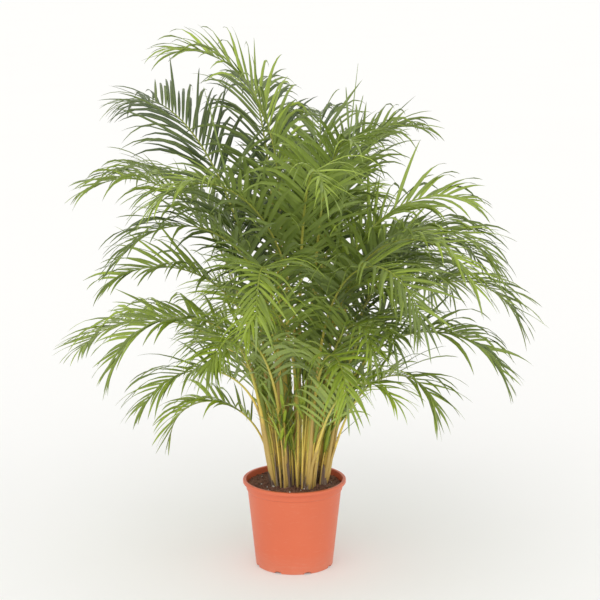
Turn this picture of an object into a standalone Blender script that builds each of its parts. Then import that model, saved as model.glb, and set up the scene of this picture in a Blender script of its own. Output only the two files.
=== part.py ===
"""Areca palm, a clump of slender canes with arching feather leaves, in a round plastic pot.

Run with: blender --background --python part.py
Metres and degrees. +Z is up, the origin is the centre of the pot's underside, and the
plant's fullest face looks along -Y. Directions round the pot are measured from +X to +Y.
"""

import math
from typing import NamedTuple

import bmesh
import bpy
import numpy as np
from mathutils import Vector
from mathutils.bvhtree import BVHTree

# ---- fits ---------------------------------------------------------------------------------
GAP = 0.0003          # left between pieces that touch
LEAF_CLEARANCE = 0.0015  # kept by a leaflet from whatever it grows past
STEM_CLEARANCE = 0.0008  # kept by a leaf stalk from canes and other stalks

# ---- pot ----------------------------------------------------------------------------------
POT_HEIGHT = 0.206
RIM_RADIUS = 0.120    # over the rolled lip
BASE_RADIUS = 0.090
POT_WALL = 0.0022
POT_FLOOR = 0.0030
LIP_HEIGHT = 0.008
LIP_REACH = 0.0055    # of the lip beyond the collar
COLLAR_HEIGHT = 0.026  # from the top of the rim down to the stacking step
COLLAR_STEP = 0.0030
COLLAR_TAPER = 0.0025  # how much wider the collar is under the lip than at the step
POT_SIDES = 36
DRAIN_COUNT = 8
DRAIN_PHASE = 20.0
DRAIN_HOLE_RADIUS = 0.006
DRAIN_HOLE_INSET = 0.024  # of the drain holes' centres from the edge of the base
NOTCH_WIDTH = 0.017
NOTCH_HEIGHT = 0.0055

# ---- soil ---------------------------------------------------------------------------------
SOIL_DEPTH_BELOW_RIM = 0.016
SOIL_CROWN = 0.004    # how much higher the soil is among the canes
SOIL_SIDES = 32

# ---- canes --------------------------------------------------------------------------------
CANE_COUNT = 14
CLUMP_RADIUS = 0.062
CLUMP_OFFSET = 0.006  # the clump stands a little to +X of the pot's centre
GOLDEN_ANGLE = 137.508
CANE_BURIED = 0.045
CANE_BASE_RADIUS = 0.0085
CANE_TOP_RADIUS = 0.0050
MIDDLE_CANE_HEIGHT = 0.43
OUTER_CANE_HEIGHT = 0.28
MIDDLE_CANE_LEAN = 1.5
OUTER_CANE_LEAN = 9.5
CANE_RING_SHARES = (0.35, 0.7)  # of its height, between the soil and the top
CANE_BURIED_WIDTH = 0.8   # of its buried end, as a share of its width at the soil
CANE_SIDES = 8

# ---- leaves -------------------------------------------------------------------------------
STALK_WIDTH = 0.0085
STALK_THICKNESS = 0.0062
TIP_WIDTH = 0.0024
TIP_THICKNESS = 0.0020
BARE_STALK_SHARE = 0.26   # of a leaf's length that carries no leaflets
BARE_STALK_RINGS = 4
LEAFLET_SPACING = 0.055
LEAFLET_WIDTH = 0.020
LEAFLET_THICKNESS = 0.0016
LEAFLET_LONGEST = 0.20    # that a very long leaf would have
LEAFLET_GROWTH = 0.40     # leaf length over which leaflets grow to two thirds of that
FAN_AT_BASE = 68.0        # angle between leaflet and rachis
FAN_AT_TIP = 26.0
VEE = 24.0                # rise of the two leaflet rows above the rachis
LEAFLET_SAG = 0.75
LEAFLET_ROOT = 0.010      # along the stalk, where a leaflet joins it
BLADE_WIDEST = 0.45       # share of a leaflet's length where it is widest
BLADE_TIP_ROOM = 0.2      # width kept free at its tip, as a share of the room at its widest
BLADE_SIZES = (1.0, 0.85, 0.7, 0.5, 0.35, 0.2)
BLADE_TRIES = (
    (0, 0), (9, 0), (-9, 0), (0, -8), (0, 8), (18, 0), (-18, 0), (12, -8), (-12, 8),
    (30, 0), (-30, 0), (0, 20),
)
STALK_NUDGES = (0, 3, -3, 6, -6, 10, -10, 15, -15, 20, -20, 28, -28)
BLADE_STEPS = 24          # that its curved middle line is drawn in
SPEAR_WIDTH = 0.007
SPEAR_TAPER = ((0.0, 1.0), (0.4, 0.9), (0.75, 0.55), (1.0, 0.12))  # shares of length and width
SPEAR_SIDES = 6


class Leaf(NamedTuple):
    """One leaf: where it leaves its cane and how its stalk bends."""

    cane: int
    up: float      # how far up its cane its foot is, as a share: 1 is on its top
    turn: float    # direction it grows out in
    lean: float    # of its foot away from the cane
    length: float  # of stalk and rachis together
    arch: float    # how far it has bent over at its tip
    late: float    # 1 for an even bend, more for a bend near the tip
    sway: float    # how far it has turned sideways at its tip
    roll: float    # of the blade about the rachis


LEAVES = (
    # left side, top to bottom
    Leaf(1, 1.0, 180, -3, 0.74, 100, 3.6, 0, 20),
    Leaf(4, 0.50, 132, 0, 0.99, 110, 2.2, -10, 15),
    Leaf(6, 0.60, 140, 5, 0.86, 92, 1.2, -8, -15),
    Leaf(9, 0.96, 180, 7, 0.63, 106, 2.6, 4, 10),
    Leaf(4, 0.75, 205, 5, 0.52, 105, 1.4, 0, 20),
    Leaf(9, 0.76, 168, 20, 0.53, 104, 0.9, -16, -10),
    Leaf(12, 0.96, 190, 4, 0.44, 150, 1.1, 0, 15),
    Leaf(12, 0.62, 214, 9, 0.38, 122, 1.1, 0, 0),
    Leaf(9, 0.20, 170, 8, 0.34, 155, 1.4, 0, 0),
    # right side, top to bottom
    Leaf(3, 0.96, 28, 0, 0.62, 100, 2.9, 0, -15),
    Leaf(5, 0.96, 8, 0, 0.55, 108, 1.9, 0, -25),
    Leaf(8, 0.90, -30, 0, 0.61, 145, 1.8, 8, 0),
    Leaf(8, 0.85, 58, 0, 0.50, 108, 1.5, -20, -15),
    Leaf(8, 0.30, 5, 7, 0.70, 140, 2.1, 4, 10),
    Leaf(13, 0.60, -10, 2, 0.52, 142, 1.3, 0, -10),
    Leaf(13, 0.25, -32, 8, 0.43, 155, 2.2, -6, 0),
    Leaf(10, 0.20, -53, 14, 0.43, 100, 2.2, 0, 10),
    # front
    Leaf(7, 0.75, 266, 2, 0.66, 132, 1.6, 0, 10),
    Leaf(10, 0.80, 300, 1, 0.66, 140, 1.7, 0, -15),
    Leaf(2, 0.95, 278, 0, 0.66, 115, 2.0, 0, 15),
    Leaf(0, 0.94, 285, 1, 0.58, 95, 2.4, 0, 0),
    Leaf(2, 0.80, 205, 1, 0.70, 118, 1.9, 25, -15),
    Leaf(7, 0.40, 246, 5, 0.54, 115, 1.6, 0, 10),
    Leaf(10, 0.55, 282, 4, 0.46, 140, 1.5, 0, 0),
    Leaf(5, 0.75, 310, 2, 0.68, 138, 1.8, 8, 10),
    Leaf(7, 0.96, 208, 1, 0.60, 130, 1.8, 0, -10),
    Leaf(13, 0.96, 30, 1, 0.54, 130, 1.7, 0, 15),
    Leaf(12, 0.40, 256, 4, 0.52, 116, 1.7, 0, 0),
    Leaf(5, 0.35, 285, 3, 0.56, 120, 1.7, 0, 10),
    Leaf(2, 0.40, 250, 3, 0.56, 118, 1.7, 0, -10),
    Leaf(0, 0.30, 300, 2, 0.60, 110, 1.9, 0, 10),
    Leaf(13, 0.45, 284, 4, 0.54, 118, 1.8, 0, 0),
    # back
    Leaf(3, 0.75, 70, 6, 0.74, 94, 2.0, 0, 15),
    Leaf(6, 0.80, 88, 2, 0.72, 108, 1.9, 0, -10),
    Leaf(11, 0.80, 75, 2, 0.70, 125, 1.7, 0, 10),
    Leaf(1, 0.85, 100, 1, 0.80, 100, 2.2, 0, -15),
    Leaf(11, 0.55, 50, 5, 0.72, 140, 1.5, 0, 15),
    Leaf(6, 0.35, 115, 6, 0.66, 145, 1.4, 0, 0),
    Leaf(0, 0.80, 90, 0, 0.66, 95, 2.4, 0, 20),
    Leaf(8, 0.55, 48, 4, 0.66, 140, 1.6, 0, 10),
)


class Spear(NamedTuple):
    """An unopened leaf, folded into a pointed rod on top of its cane."""

    cane: int
    turn: float
    lean: float
    length: float


SPEARS = (
    Spear(4, 185, 6, 0.60),
    Spear(5, 80, 3, 0.65),
    Spear(0, 95, 2, 0.45),
    Spear(12, 120, 2, 0.36),
)

# ---- finishes: colour, roughness ----------------------------------------------------------
TERRACOTTA = ((0.76, 0.17, 0.07), 0.45)
POTTING_SOIL = ((0.09, 0.05, 0.04), 0.95)
CANE_YELLOW = ((0.62, 0.42, 0.10), 0.50)
LEAF_GREEN = ((0.10, 0.22, 0.04), 0.50)
SPEAR_GREEN = ((0.25, 0.38, 0.08), 0.50)


def along(share, start, end):
    """Straight-line blend from start to end."""
    return start + (end - start) * share


def unit(vectors):
    """Vectors of length one, for one vector or a row of them."""
    return vectors / np.linalg.norm(vectors, axis=-1, keepdims=True)


def compass(degrees):
    """Level directions, measured from +X towards +Y."""
    angle = np.radians(degrees)
    return np.stack([np.cos(angle), np.sin(angle), np.zeros_like(angle)], axis=-1)


# ---- mesh helpers -------------------------------------------------------------------------
def finish(name, colour, roughness):
    """A plain Principled material of the given colour and roughness."""
    material = bpy.data.materials.new(name)
    material.use_nodes = True
    shader = material.node_tree.nodes["Principled BSDF"]
    shader.inputs["Base Color"].default_value = (*colour, 1.0)
    shader.inputs["Roughness"].default_value = roughness
    material.diffuse_color = (*colour, 1.0)
    return material


def place(name, mesh, collection, look=None):
    """Put a mesh into the scene as a named object."""
    piece = bpy.data.objects.new(name, mesh)
    collection.objects.link(piece)
    if look:
        mesh.materials.clear()
        mesh.materials.append(finish(name, *look))
    return piece


def turned(name, profile, sides, collection, look=None):
    """Turn an (r, z) profile, given down its outer side first, about the Z axis."""
    mesh = bpy.data.meshes.new(name)
    shape = bmesh.new()
    corners = [shape.verts.new((r, 0, z)) for r, z in profile]
    for corner, following in zip(corners, corners[1:]):
        if corner.co.x or following.co.x:
            shape.edges.new((corner, following))
    if profile[0][0] > 0 and profile[-1][0] > 0:
        shape.edges.new((corners[-1], corners[0]))
    shape.to_mesh(mesh)
    shape.free()
    piece = place(name, mesh, collection, look)
    screw = piece.modifiers.new("turn", "SCREW")
    screw.axis = "Z"
    screw.angle = math.tau
    screw.steps = screw.render_steps = sides
    screw.use_merge_vertices = True
    screw.merge_threshold = 0.00001
    return piece


def cut(piece, cutter):
    """Take the cutter out of the piece."""
    cutter.hide_render = True
    cutter.display_type = "WIRE"
    boolean = piece.modifiers.new(f"cut {cutter.name}", "BOOLEAN")
    boolean.operation = "DIFFERENCE"
    boolean.solver = "EXACT"
    boolean.object = cutter


class Sweep:
    """A closed solid grown ring by ring by extruding its end face.

    Rings are lists of corner points, counted anticlockwise as seen from the far end.
    """

    def __init__(self, first, second):
        self.shape = bmesh.new()
        self.corner = self.shape.verts.layers.int.new("corner")
        self.ring = self.shape.verts.layers.int.new("ring")
        sides = len(first)
        bmesh.ops.create_cone(
            self.shape, cap_ends=True, segments=sides, radius1=1, radius2=1, depth=2
        )
        self.rings = [[None] * sides, [None] * sides]
        for vertex in self.shape.verts:
            turn = math.atan2(-vertex.co.x, vertex.co.y) / math.tau
            level, number = int(vertex.co.z > 0), round(turn * sides) % sides
            vertex[self.corner], vertex[self.ring] = number, level
            vertex.co = (first, second)[level][number]
            self.rings[level][number] = vertex
        self.end = self.shape.faces.get(self.rings[1])

    def extrude(self, face):
        """Extrude one face and return the new one."""
        return bmesh.ops.extrude_discrete_faces(self.shape, faces=[face])["faces"][0]

    def grow(self, points):
        """Add a ring at the growing end."""
        self.end = self.extrude(self.end)
        added = [None] * len(points)
        for vertex in self.end.verts:
            number = vertex[self.corner]
            vertex[self.ring] = len(self.rings)
            vertex.co = points[number]
            added[number] = vertex
        self.rings.append(added)

    def branch(self, level, corners, places, tip):
        """Draw a side face out through a ring of places, keyed by ring and corner, to a tip."""
        low, high = self.rings[level], self.rings[level + 1]
        first, second = corners
        face = self.shape.faces.get([low[first], low[second], high[second], high[first]])
        face = self.extrude(face)
        for vertex in face.verts:
            vertex.co = places[vertex[self.ring] - level, vertex[self.corner]]
        face = self.extrude(face)
        bmesh.ops.pointmerge(self.shape, verts=list(face.verts), merge_co=tip)

    def close_to(self, tip):
        """Draw the growing end out to a point."""
        face = self.extrude(self.end)
        bmesh.ops.pointmerge(self.shape, verts=list(face.verts), merge_co=tip)

    def mesh(self, name):
        """The finished mesh."""
        bmesh.ops.recalc_face_normals(self.shape, faces=self.shape.faces)
        mesh = bpy.data.meshes.new(name)
        self.shape.to_mesh(mesh)
        self.shape.free()
        return mesh


def swept(name, rings):
    """A closed solid through a row of rings."""
    sweep = Sweep(rings[0], rings[1])
    for ring in rings[2:]:
        sweep.grow(ring)
    return sweep.mesh(name)


def round_rings(centres, axis, radii, sides):
    """Level-ended round rings about centres, square to a fixed axis."""
    across = unit(np.cross(axis, (0.0, 1.0, 0.0)))
    beside = np.cross(axis, across)
    turn = np.radians(np.arange(sides) * 360 / sides)
    circle = np.outer(np.cos(turn), across) + np.outer(np.sin(turn), beside)
    return [centre + circle * radius for centre, radius in zip(centres, radii)]


def ring_tree(rings):
    """A collision tree of the closed tube through a row of rings."""
    sides = len(rings[0])
    points = [Vector(point) for ring in rings for point in ring]
    faces = [
        (level * sides + i, level * sides + (i + 1) % sides,
         (level + 1) * sides + (i + 1) % sides, (level + 1) * sides + i)
        for level in range(len(rings) - 1) for i in range(sides)
    ]
    faces += [tuple(range(sides)), tuple(range((len(rings) - 1) * sides, len(rings) * sides))]
    return BVHTree.FromPolygons(points, faces)


class Occupied:
    """What has been placed so far: a collision tree and a box for each shape."""

    def __init__(self):
        self.trees, self.lows, self.highs, self.owners = [], [], [], []

    def add(self, rings, owner):
        """Take up the room of the tube through a row of rings."""
        points = np.concatenate(rings)
        self.trees.append(ring_tree(rings))
        self.lows.append(points.min(axis=0))
        self.highs.append(points.max(axis=0))
        self.owners.append(owner)

    def blocks(self, rings, ignore=None):
        """Whether the tube through the rings would run into something of another owner."""
        if not self.trees:
            return False
        points = np.concatenate(rings)
        low, high = points.min(axis=0), points.max(axis=0)
        near = np.all((np.array(self.lows) <= high) & (np.array(self.highs) >= low), axis=1)
        tree = ring_tree(rings)
        return any(
            self.owners[index] != ignore and self.trees[index].overlap(tree)
            for index in np.flatnonzero(near)
        )


# ---- pot and soil -------------------------------------------------------------------------
def wall_radius(height):
    """Outside of the pot's straight tapered body, which ends a step in from the collar."""
    at_step = RIM_RADIUS - LIP_REACH - COLLAR_TAPER - COLLAR_STEP
    return along(height / (POT_HEIGHT - COLLAR_HEIGHT), BASE_RADIUS, at_step)


def pot_profile():
    """Outline of the pot's wall: down the outside, in to the middle, and up the inside."""
    step_bottom = POT_HEIGHT - COLLAR_HEIGHT
    step_top = step_bottom + COLLAR_STEP
    body = wall_radius(step_bottom)
    collar_low = body + COLLAR_STEP
    collar_high = RIM_RADIUS - LIP_REACH
    lip_bottom = POT_HEIGHT - LIP_HEIGHT
    edge = LIP_HEIGHT / 4
    return [
        (collar_high - POT_WALL + edge / 2, POT_HEIGHT),
        (RIM_RADIUS - edge, POT_HEIGHT),
        (RIM_RADIUS, POT_HEIGHT - edge),
        (RIM_RADIUS, lip_bottom),
        (RIM_RADIUS - POT_WALL, lip_bottom),
        (RIM_RADIUS - POT_WALL, POT_HEIGHT - POT_WALL * 1.5),
        (collar_high, POT_HEIGHT - POT_WALL * 1.5),
        (collar_low, step_top),
        (body, step_bottom),
        (wall_radius(0) + POT_WALL / 2, POT_WALL),
        (wall_radius(0) - POT_WALL / 2, 0),
        (0, 0),
        (0, POT_FLOOR),
        (wall_radius(POT_FLOOR) - POT_WALL, POT_FLOOR),
        (body - POT_WALL, step_bottom),
        (collar_low - POT_WALL, step_top),
        (collar_high - POT_WALL, POT_HEIGHT - edge / 2),
    ]


def make_pot(parts, cutters):
    """The pot: a thin turned wall with a rolled lip, drain holes and notches in its foot."""
    pot = turned("pot", pot_profile(), POT_SIDES, parts, TERRACOTTA)
    pot.data.shade_smooth()
    drain_ring = BASE_RADIUS - DRAIN_HOLE_INSET
    for index in range(DRAIN_COUNT):
        angle = math.radians(DRAIN_PHASE + index * 360 / DRAIN_COUNT)
        out = Vector((math.cos(angle), math.sin(angle), 0))
        bpy.ops.mesh.primitive_cylinder_add(
            vertices=12, radius=DRAIN_HOLE_RADIUS, depth=POT_FLOOR * 4, location=out * drain_ring
        )
        hole = bpy.context.object
        hole.name = f"drain_hole_{index + 1}"
        bpy.ops.mesh.primitive_cube_add(size=1, location=out * BASE_RADIUS, rotation=(0, 0, angle))
        notch = bpy.context.object
        notch.name = f"foot_notch_{index + 1}"
        notch.scale = (POT_WALL * 8, NOTCH_WIDTH, NOTCH_HEIGHT * 2)
        for cutter in (hole, notch):
            for collection in cutter.users_collection:
                collection.objects.unlink(cutter)
            cutters.objects.link(cutter)
            cut(pot, cutter)
    return pot


def soil_top():
    """Height of the soil's surface at the pot's wall."""
    return POT_HEIGHT - SOIL_DEPTH_BELOW_RIM


def make_soil(parts, cutters):
    """The soil: a plug that fills the pot, slightly crowned, with a pocket for each cane."""
    top, bottom = soil_top(), POT_FLOOR + GAP
    step = POT_HEIGHT - COLLAR_HEIGHT
    profile = [(0, top + SOIL_CROWN), (CLUMP_RADIUS, top + SOIL_CROWN * 0.8)]
    profile += [(wall_radius(step) - POT_WALL - GAP * 4, top)]
    profile += [(wall_radius(step) - POT_WALL - GAP * 2, step)]
    profile += [(wall_radius(bottom) - POT_WALL - GAP * 2, bottom), (0, bottom)]
    soil = turned("soil", profile, SOIL_SIDES, parts, POTTING_SOIL)
    for index in range(CANE_COUNT):
        pocket = place(f"pocket_{index + 1:02d}", cane_mesh(index, GAP), cutters)
        cut(soil, pocket)
    return soil


# ---- canes --------------------------------------------------------------------------------
class Cane:
    """Where one cane of the clump stands, in rings that widen out from the middle cane."""

    def __init__(self, index):
        share = math.sqrt((index + 0.5) / CANE_COUNT)
        out = compass(GOLDEN_ANGLE * index)
        lean = math.radians(along(share, MIDDLE_CANE_LEAN, OUTER_CANE_LEAN))
        self.axis = out * math.sin(lean) + np.array([0.0, 0.0, math.cos(lean)])
        self.foot = out * CLUMP_RADIUS * share + np.array([CLUMP_OFFSET, 0.0, soil_top()])
        self.height = along(share, MIDDLE_CANE_HEIGHT, OUTER_CANE_HEIGHT)

    def radius(self, up):
        """Radius at a share of the height above the soil."""
        return along(max(up, 0.0), CANE_BASE_RADIUS, CANE_TOP_RADIUS)

    def rings(self, extra):
        """Its rings from the buried end to the top, made wider by extra."""
        buried = -CANE_BURIED / self.height
        ups = np.array([buried, 0.0, *CANE_RING_SHARES, 1.0])
        centres = self.foot + np.outer(ups * self.height, self.axis)
        centres[0] -= self.axis * extra
        widths = [CANE_BURIED_WIDTH if up == buried else 1.0 for up in ups]
        radii = [self.radius(up) * width + extra for up, width in zip(ups, widths)]
        return round_rings(centres, self.axis, radii, CANE_SIDES)


def cane_mesh(index, extra=0.0):
    """A cane, or with extra the pocket that it stands in."""
    return swept(f"cane_{index + 1:02d}", Cane(index).rings(extra))


def make_canes(parts, occupied):
    """All the canes, each a tapered rod set in the soil."""
    for index in range(CANE_COUNT):
        name = f"cane_{index + 1:02d}"
        place(name, cane_mesh(index), parts, CANE_YELLOW)
        occupied.add(Cane(index).rings(STEM_CLEARANCE), name)


# ---- leaves -------------------------------------------------------------------------------
class Stalk:
    """The curved middle line of a leaf, with its directions at any share of its length.

    The stalk tilts from its cane's axis towards its compass direction, by its lean at the
    foot and by its lean and arch together at the tip.
    """

    STEPS = 96

    def __init__(self, leaf, nudge):
        cane = Cane(leaf.cane)
        middle = (np.arange(self.STEPS) + 0.5) / self.STEPS
        ends = np.arange(self.STEPS + 1) / self.STEPS
        outward = self.outward(leaf, cane, nudge, 0.0)
        foot = cane.foot + cane.axis * cane.height * leaf.up
        if leaf.up < 1:
            foot = foot + outward * (cane.radius(leaf.up) + STALK_THICKNESS / 2 + GAP)
        else:
            tilt = abs(math.sin(math.radians(leaf.lean)))
            foot = foot + cane.axis * (GAP + STALK_THICKNESS * tilt)
        steps = self.heading(leaf, cane, nudge, middle) * leaf.length / self.STEPS
        self.shares = ends
        self.points = np.vstack([foot, foot + np.cumsum(steps, axis=0)])
        self.forward = self.heading(leaf, cane, nudge, ends)
        side = np.cross(self.outward(leaf, cane, nudge, ends), cane.axis)
        upper = np.cross(side, self.forward)
        roll = np.radians(leaf.roll * ends)[:, None]
        self.side = side * np.cos(roll) + upper * np.sin(roll)
        self.upper = np.cross(self.side, self.forward)

    @staticmethod
    def outward(leaf, cane, nudge, share):
        """Direction square to the cane that the leaf grows out in."""
        level = compass(leaf.turn + nudge + leaf.sway * share ** leaf.late)
        return unit(level - np.expand_dims(level @ cane.axis, -1) * cane.axis)

    def heading(self, leaf, cane, nudge, share):
        """Direction that the stalk runs in."""
        tilt = np.radians(leaf.lean + leaf.arch * share ** leaf.late)[:, None]
        return np.cos(tilt) * cane.axis + np.sin(tilt) * self.outward(leaf, cane, nudge, share)

    def at(self, share):
        """Point, forward, side and upper directions at a share of the length."""
        rows = (self.points, self.forward, self.side, self.upper)
        found = [
            np.array([np.interp(share, self.shares, row[:, i]) for i in range(3)]) for row in rows
        ]
        return found[0], *(unit(vector) for vector in found[1:])

    def tip(self, length):
        """Point of the leaflet that ends the stalk."""
        return self.points[-1] + self.forward[-1] * length

    def ring(self, share, extra=0.0):
        """Four corners of the stalk's section at a share of the length."""
        point, _, side, upper = self.at(share)
        wide = along(share ** 0.8, STALK_WIDTH, TIP_WIDTH) / 2 + extra
        thick = along(share ** 0.8, STALK_THICKNESS, TIP_THICKNESS) / 2 + extra
        signs = ((1, 1), (-1, 1), (-1, -1), (1, -1))
        return np.array([point + side * wide * x + upper * thick * y for x, y in signs])


class Blade:
    """One leaflet: a flat pointed strip that fans out from the stalk and sags to its tip."""

    def __init__(self, stalk, share, row, length, lift, fan_change):
        point, forward, side, upper = stalk.at(share)
        fan = math.radians(along(share, FAN_AT_BASE, FAN_AT_TIP) + fan_change)
        vee = math.radians(VEE + lift)
        level = row * math.cos(vee) * side + math.sin(vee) * upper
        start = math.cos(fan) * forward + math.sin(fan) * level
        shares = (np.arange(BLADE_STEPS) + 0.5) / BLADE_STEPS
        steps = length / BLADE_STEPS
        self.row, self.length, self.forward = row, length, forward
        self.heading = unit(start + np.outer(LEAFLET_SAG * shares ** 2, (0.0, 0.0, -1.0)))
        self.line = np.vstack([point, point + np.cumsum(self.heading * steps, axis=0)])

    def ring(self, share, extra=0.0):
        """Corners at a share of the length: near and far edge, each upper and under."""
        heading = self.heading[int(share * (BLADE_STEPS - 1))]
        across = unit(self.forward - heading * (self.forward @ heading))
        through = self.row * np.cross(heading, across)
        wide, thick = LEAFLET_WIDTH / 2 + extra, LEAFLET_THICKNESS / 2 + extra
        centre = self.line[int(share * BLADE_STEPS)]
        return np.array([
            centre + across * wide * x + through * thick * y
            for x, y in ((-1, 1), (-1, -1), (1, -1), (1, 1))
        ])

    def room(self, root):
        """Rings of the room that it needs from its root outwards, its clearance included."""
        tip = self.line[-1] + self.heading[-1] * LEAF_CLEARANCE
        middle = self.ring(BLADE_WIDEST, LEAF_CLEARANCE)
        return [root, middle, tip + (middle - middle.mean(axis=0)) * BLADE_TIP_ROOM]


def leaflet_length(leaf, share):
    """Leaflets are longest a third of the way up the rachis and short at its tip."""
    longest = LEAFLET_LONGEST * (1 - math.exp(-leaf.length / LEAFLET_GROWTH))
    along_rachis = (share - BARE_STALK_SHARE) / (1 - BARE_STALK_SHARE)
    return longest * (0.35 + 0.65 * math.sin(math.pi * (0.2 + 0.75 * along_rachis)))


def leaflet_shares(leaf):
    """Where leaflet pairs join the stalk, as shares of its length."""
    rachis = leaf.length * (1 - BARE_STALK_SHARE)
    pairs = max(3, int(rachis / LEAFLET_SPACING))
    return BARE_STALK_SHARE + (np.arange(pairs) + 0.5) / pairs * (1 - BARE_STALK_SHARE)


def ring_shares(leaf):
    """Where the stalk has rings: along its bare part, then at both edges of each leaflet pair."""
    bare = np.linspace(0, BARE_STALK_SHARE, BARE_STALK_RINGS, endpoint=False)
    half_root = LEAFLET_ROOT / 2 / leaf.length
    edges = (-half_root, half_root)
    return np.append(bare, [share + edge for share in leaflet_shares(leaf) for edge in edges])


def stalk_room(leaf, stalk, extra):
    """Rings of the whole stalk out to the tip of the leaflet that ends it."""
    rings = [stalk.ring(share, extra) for share in ring_shares(leaf)]
    tip = stalk.tip(leaflet_length(leaf, 1.0))
    return [*rings, tip + (rings[-1] - stalk.points[-1]) * BLADE_TIP_ROOM]


def placed_stalk(name, leaf, occupied):
    """The leaf's stalk, turned a little where it would run into a cane or another stalk."""
    for nudge in STALK_NUDGES:
        stalk = Stalk(leaf, nudge)
        room = stalk_room(leaf, stalk, STEM_CLEARANCE)
        if not occupied.blocks(room, ignore=f"cane_{leaf.cane + 1:02d}"):
            break
    occupied.add(room, name)
    return stalk


def placed_blade(name, leaf, stalk, share, row, root, occupied):
    """A leaflet tilted, and shortened if need be, to grow clear of what is round it."""
    for size in BLADE_SIZES:
        for lift, fan in BLADE_TRIES:
            length = leaflet_length(leaf, share) * size
            blade = Blade(stalk, share, row, length, lift, fan)
            room = blade.room(root)
            if not occupied.blocks(room, ignore=name):
                occupied.add(room, f"{name} leaflet")
                return blade
    return blade


def leaf_mesh(name, leaf, stalk, occupied):
    """Stalk and leaflets as one closed solid."""
    rings = [stalk.ring(share) for share in ring_shares(leaf)]
    sweep = Sweep(rings[0], rings[1])
    for ring in rings[2:BARE_STALK_RINGS]:
        sweep.grow(ring)
    for pair, share in enumerate(leaflet_shares(leaf)):
        level = BARE_STALK_RINGS + pair * 2
        near, far = rings[level], rings[level + 1]
        sweep.grow(near)
        sweep.grow(far)
        for row, upper, under in ((1, 0, 3), (-1, 1, 2)):
            root = np.array([near[upper], near[under], far[under], far[upper]])
            blade = placed_blade(name, leaf, stalk, share, row, root, occupied)
            edge = blade.ring(BLADE_WIDEST)
            places = {
                (0, upper): edge[0], (0, under): edge[1],
                (1, under): edge[2], (1, upper): edge[3],
            }
            sweep.branch(level, (upper, under), places, blade.line[-1])
    sweep.close_to(stalk.tip(leaflet_length(leaf, 1.0)))
    return sweep.mesh(name)


def make_leaves(parts, occupied):
    """All the leaves: the stalks take their places first, then the leaflets fill the rest."""
    names = [f"leaf_{index + 1:02d}" for index in range(len(LEAVES))]
    stalks = [placed_stalk(name, leaf, occupied) for name, leaf in zip(names, LEAVES)]
    for name, leaf, stalk in zip(names, LEAVES, stalks):
        place(name, leaf_mesh(name, leaf, stalk, occupied), parts, LEAF_GREEN)


# ---- spears -------------------------------------------------------------------------------
def make_spears(parts, occupied):
    """Unopened leaves: slim rods that taper to a point, on the tops of their canes."""
    for index, spear in enumerate(SPEARS):
        name = f"spear_{index + 1}"
        cane = Cane(spear.cane)
        tilt = math.radians(spear.lean)
        level = compass(spear.turn)
        outward = unit(level - (level @ cane.axis) * cane.axis)
        axis = math.cos(tilt) * cane.axis + math.sin(tilt) * outward
        lift = GAP + SPEAR_WIDTH / 2 * math.sin(tilt)
        foot = cane.foot + cane.axis * (cane.height + lift)
        shares, widths = np.array(SPEAR_TAPER).T
        centres = foot + np.outer(shares * spear.length, axis)
        radii = SPEAR_WIDTH / 2 * widths
        occupied.add(round_rings(centres, axis, radii + STEM_CLEARANCE, SPEAR_SIDES), name)
        place(name, swept(name, round_rings(centres, axis, radii, SPEAR_SIDES)), parts, SPEAR_GREEN)


def main():
    """Clear the scene and build the palm."""
    for old in list(bpy.data.objects):
        bpy.data.objects.remove(old, do_unlink=True)
    parts = bpy.data.collections.new("potted_palm")
    cutters = bpy.data.collections.new("cutters")
    for collection in (parts, cutters):
        bpy.context.scene.collection.children.link(collection)
    occupied = Occupied()
    make_pot(parts, cutters)
    make_soil(parts, cutters)
    make_canes(parts, occupied)
    make_spears(parts, occupied)
    make_leaves(parts, occupied)


main()
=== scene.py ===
"""Areca palm in a round plastic pot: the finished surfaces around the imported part.

Metres, +Z up, origin in the middle of the pot's underside. Directions round the pot are
measured from +X to +Y. Laid out as a Blender add-on: one operator makes each group of pieces.
"""

import math
from typing import NamedTuple

import bpy
import numpy as np
from bpy.props import FloatProperty, FloatVectorProperty, IntProperty, PointerProperty
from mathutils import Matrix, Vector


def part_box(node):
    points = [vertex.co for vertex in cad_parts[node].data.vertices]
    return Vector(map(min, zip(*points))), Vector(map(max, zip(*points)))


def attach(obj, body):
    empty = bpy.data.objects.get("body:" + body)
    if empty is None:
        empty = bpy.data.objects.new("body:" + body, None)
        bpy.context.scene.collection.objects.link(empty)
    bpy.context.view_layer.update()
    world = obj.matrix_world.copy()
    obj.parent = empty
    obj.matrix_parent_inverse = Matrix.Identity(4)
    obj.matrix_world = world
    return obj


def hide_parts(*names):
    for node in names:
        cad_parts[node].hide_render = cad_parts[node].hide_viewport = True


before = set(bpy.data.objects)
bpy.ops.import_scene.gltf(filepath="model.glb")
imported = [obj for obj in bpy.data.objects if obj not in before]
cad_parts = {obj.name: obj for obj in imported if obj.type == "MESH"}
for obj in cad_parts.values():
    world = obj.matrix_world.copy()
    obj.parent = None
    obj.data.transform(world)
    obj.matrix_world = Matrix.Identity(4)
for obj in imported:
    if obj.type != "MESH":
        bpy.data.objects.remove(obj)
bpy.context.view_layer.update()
POT_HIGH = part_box("pot")[1]

bl_info = {
    "name": "Potted palm",
    "version": (1, 0, 0),
    "blender": (4, 5, 0),
    "location": "3D View > Sidebar > Palm",
    "description": "Makes an areca palm, its soil and its pot, each from a few sizes and colours",
    "category": "Object",
}

BODY = "root"
UP = np.array([0.0, 0.0, 1.0])

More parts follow.
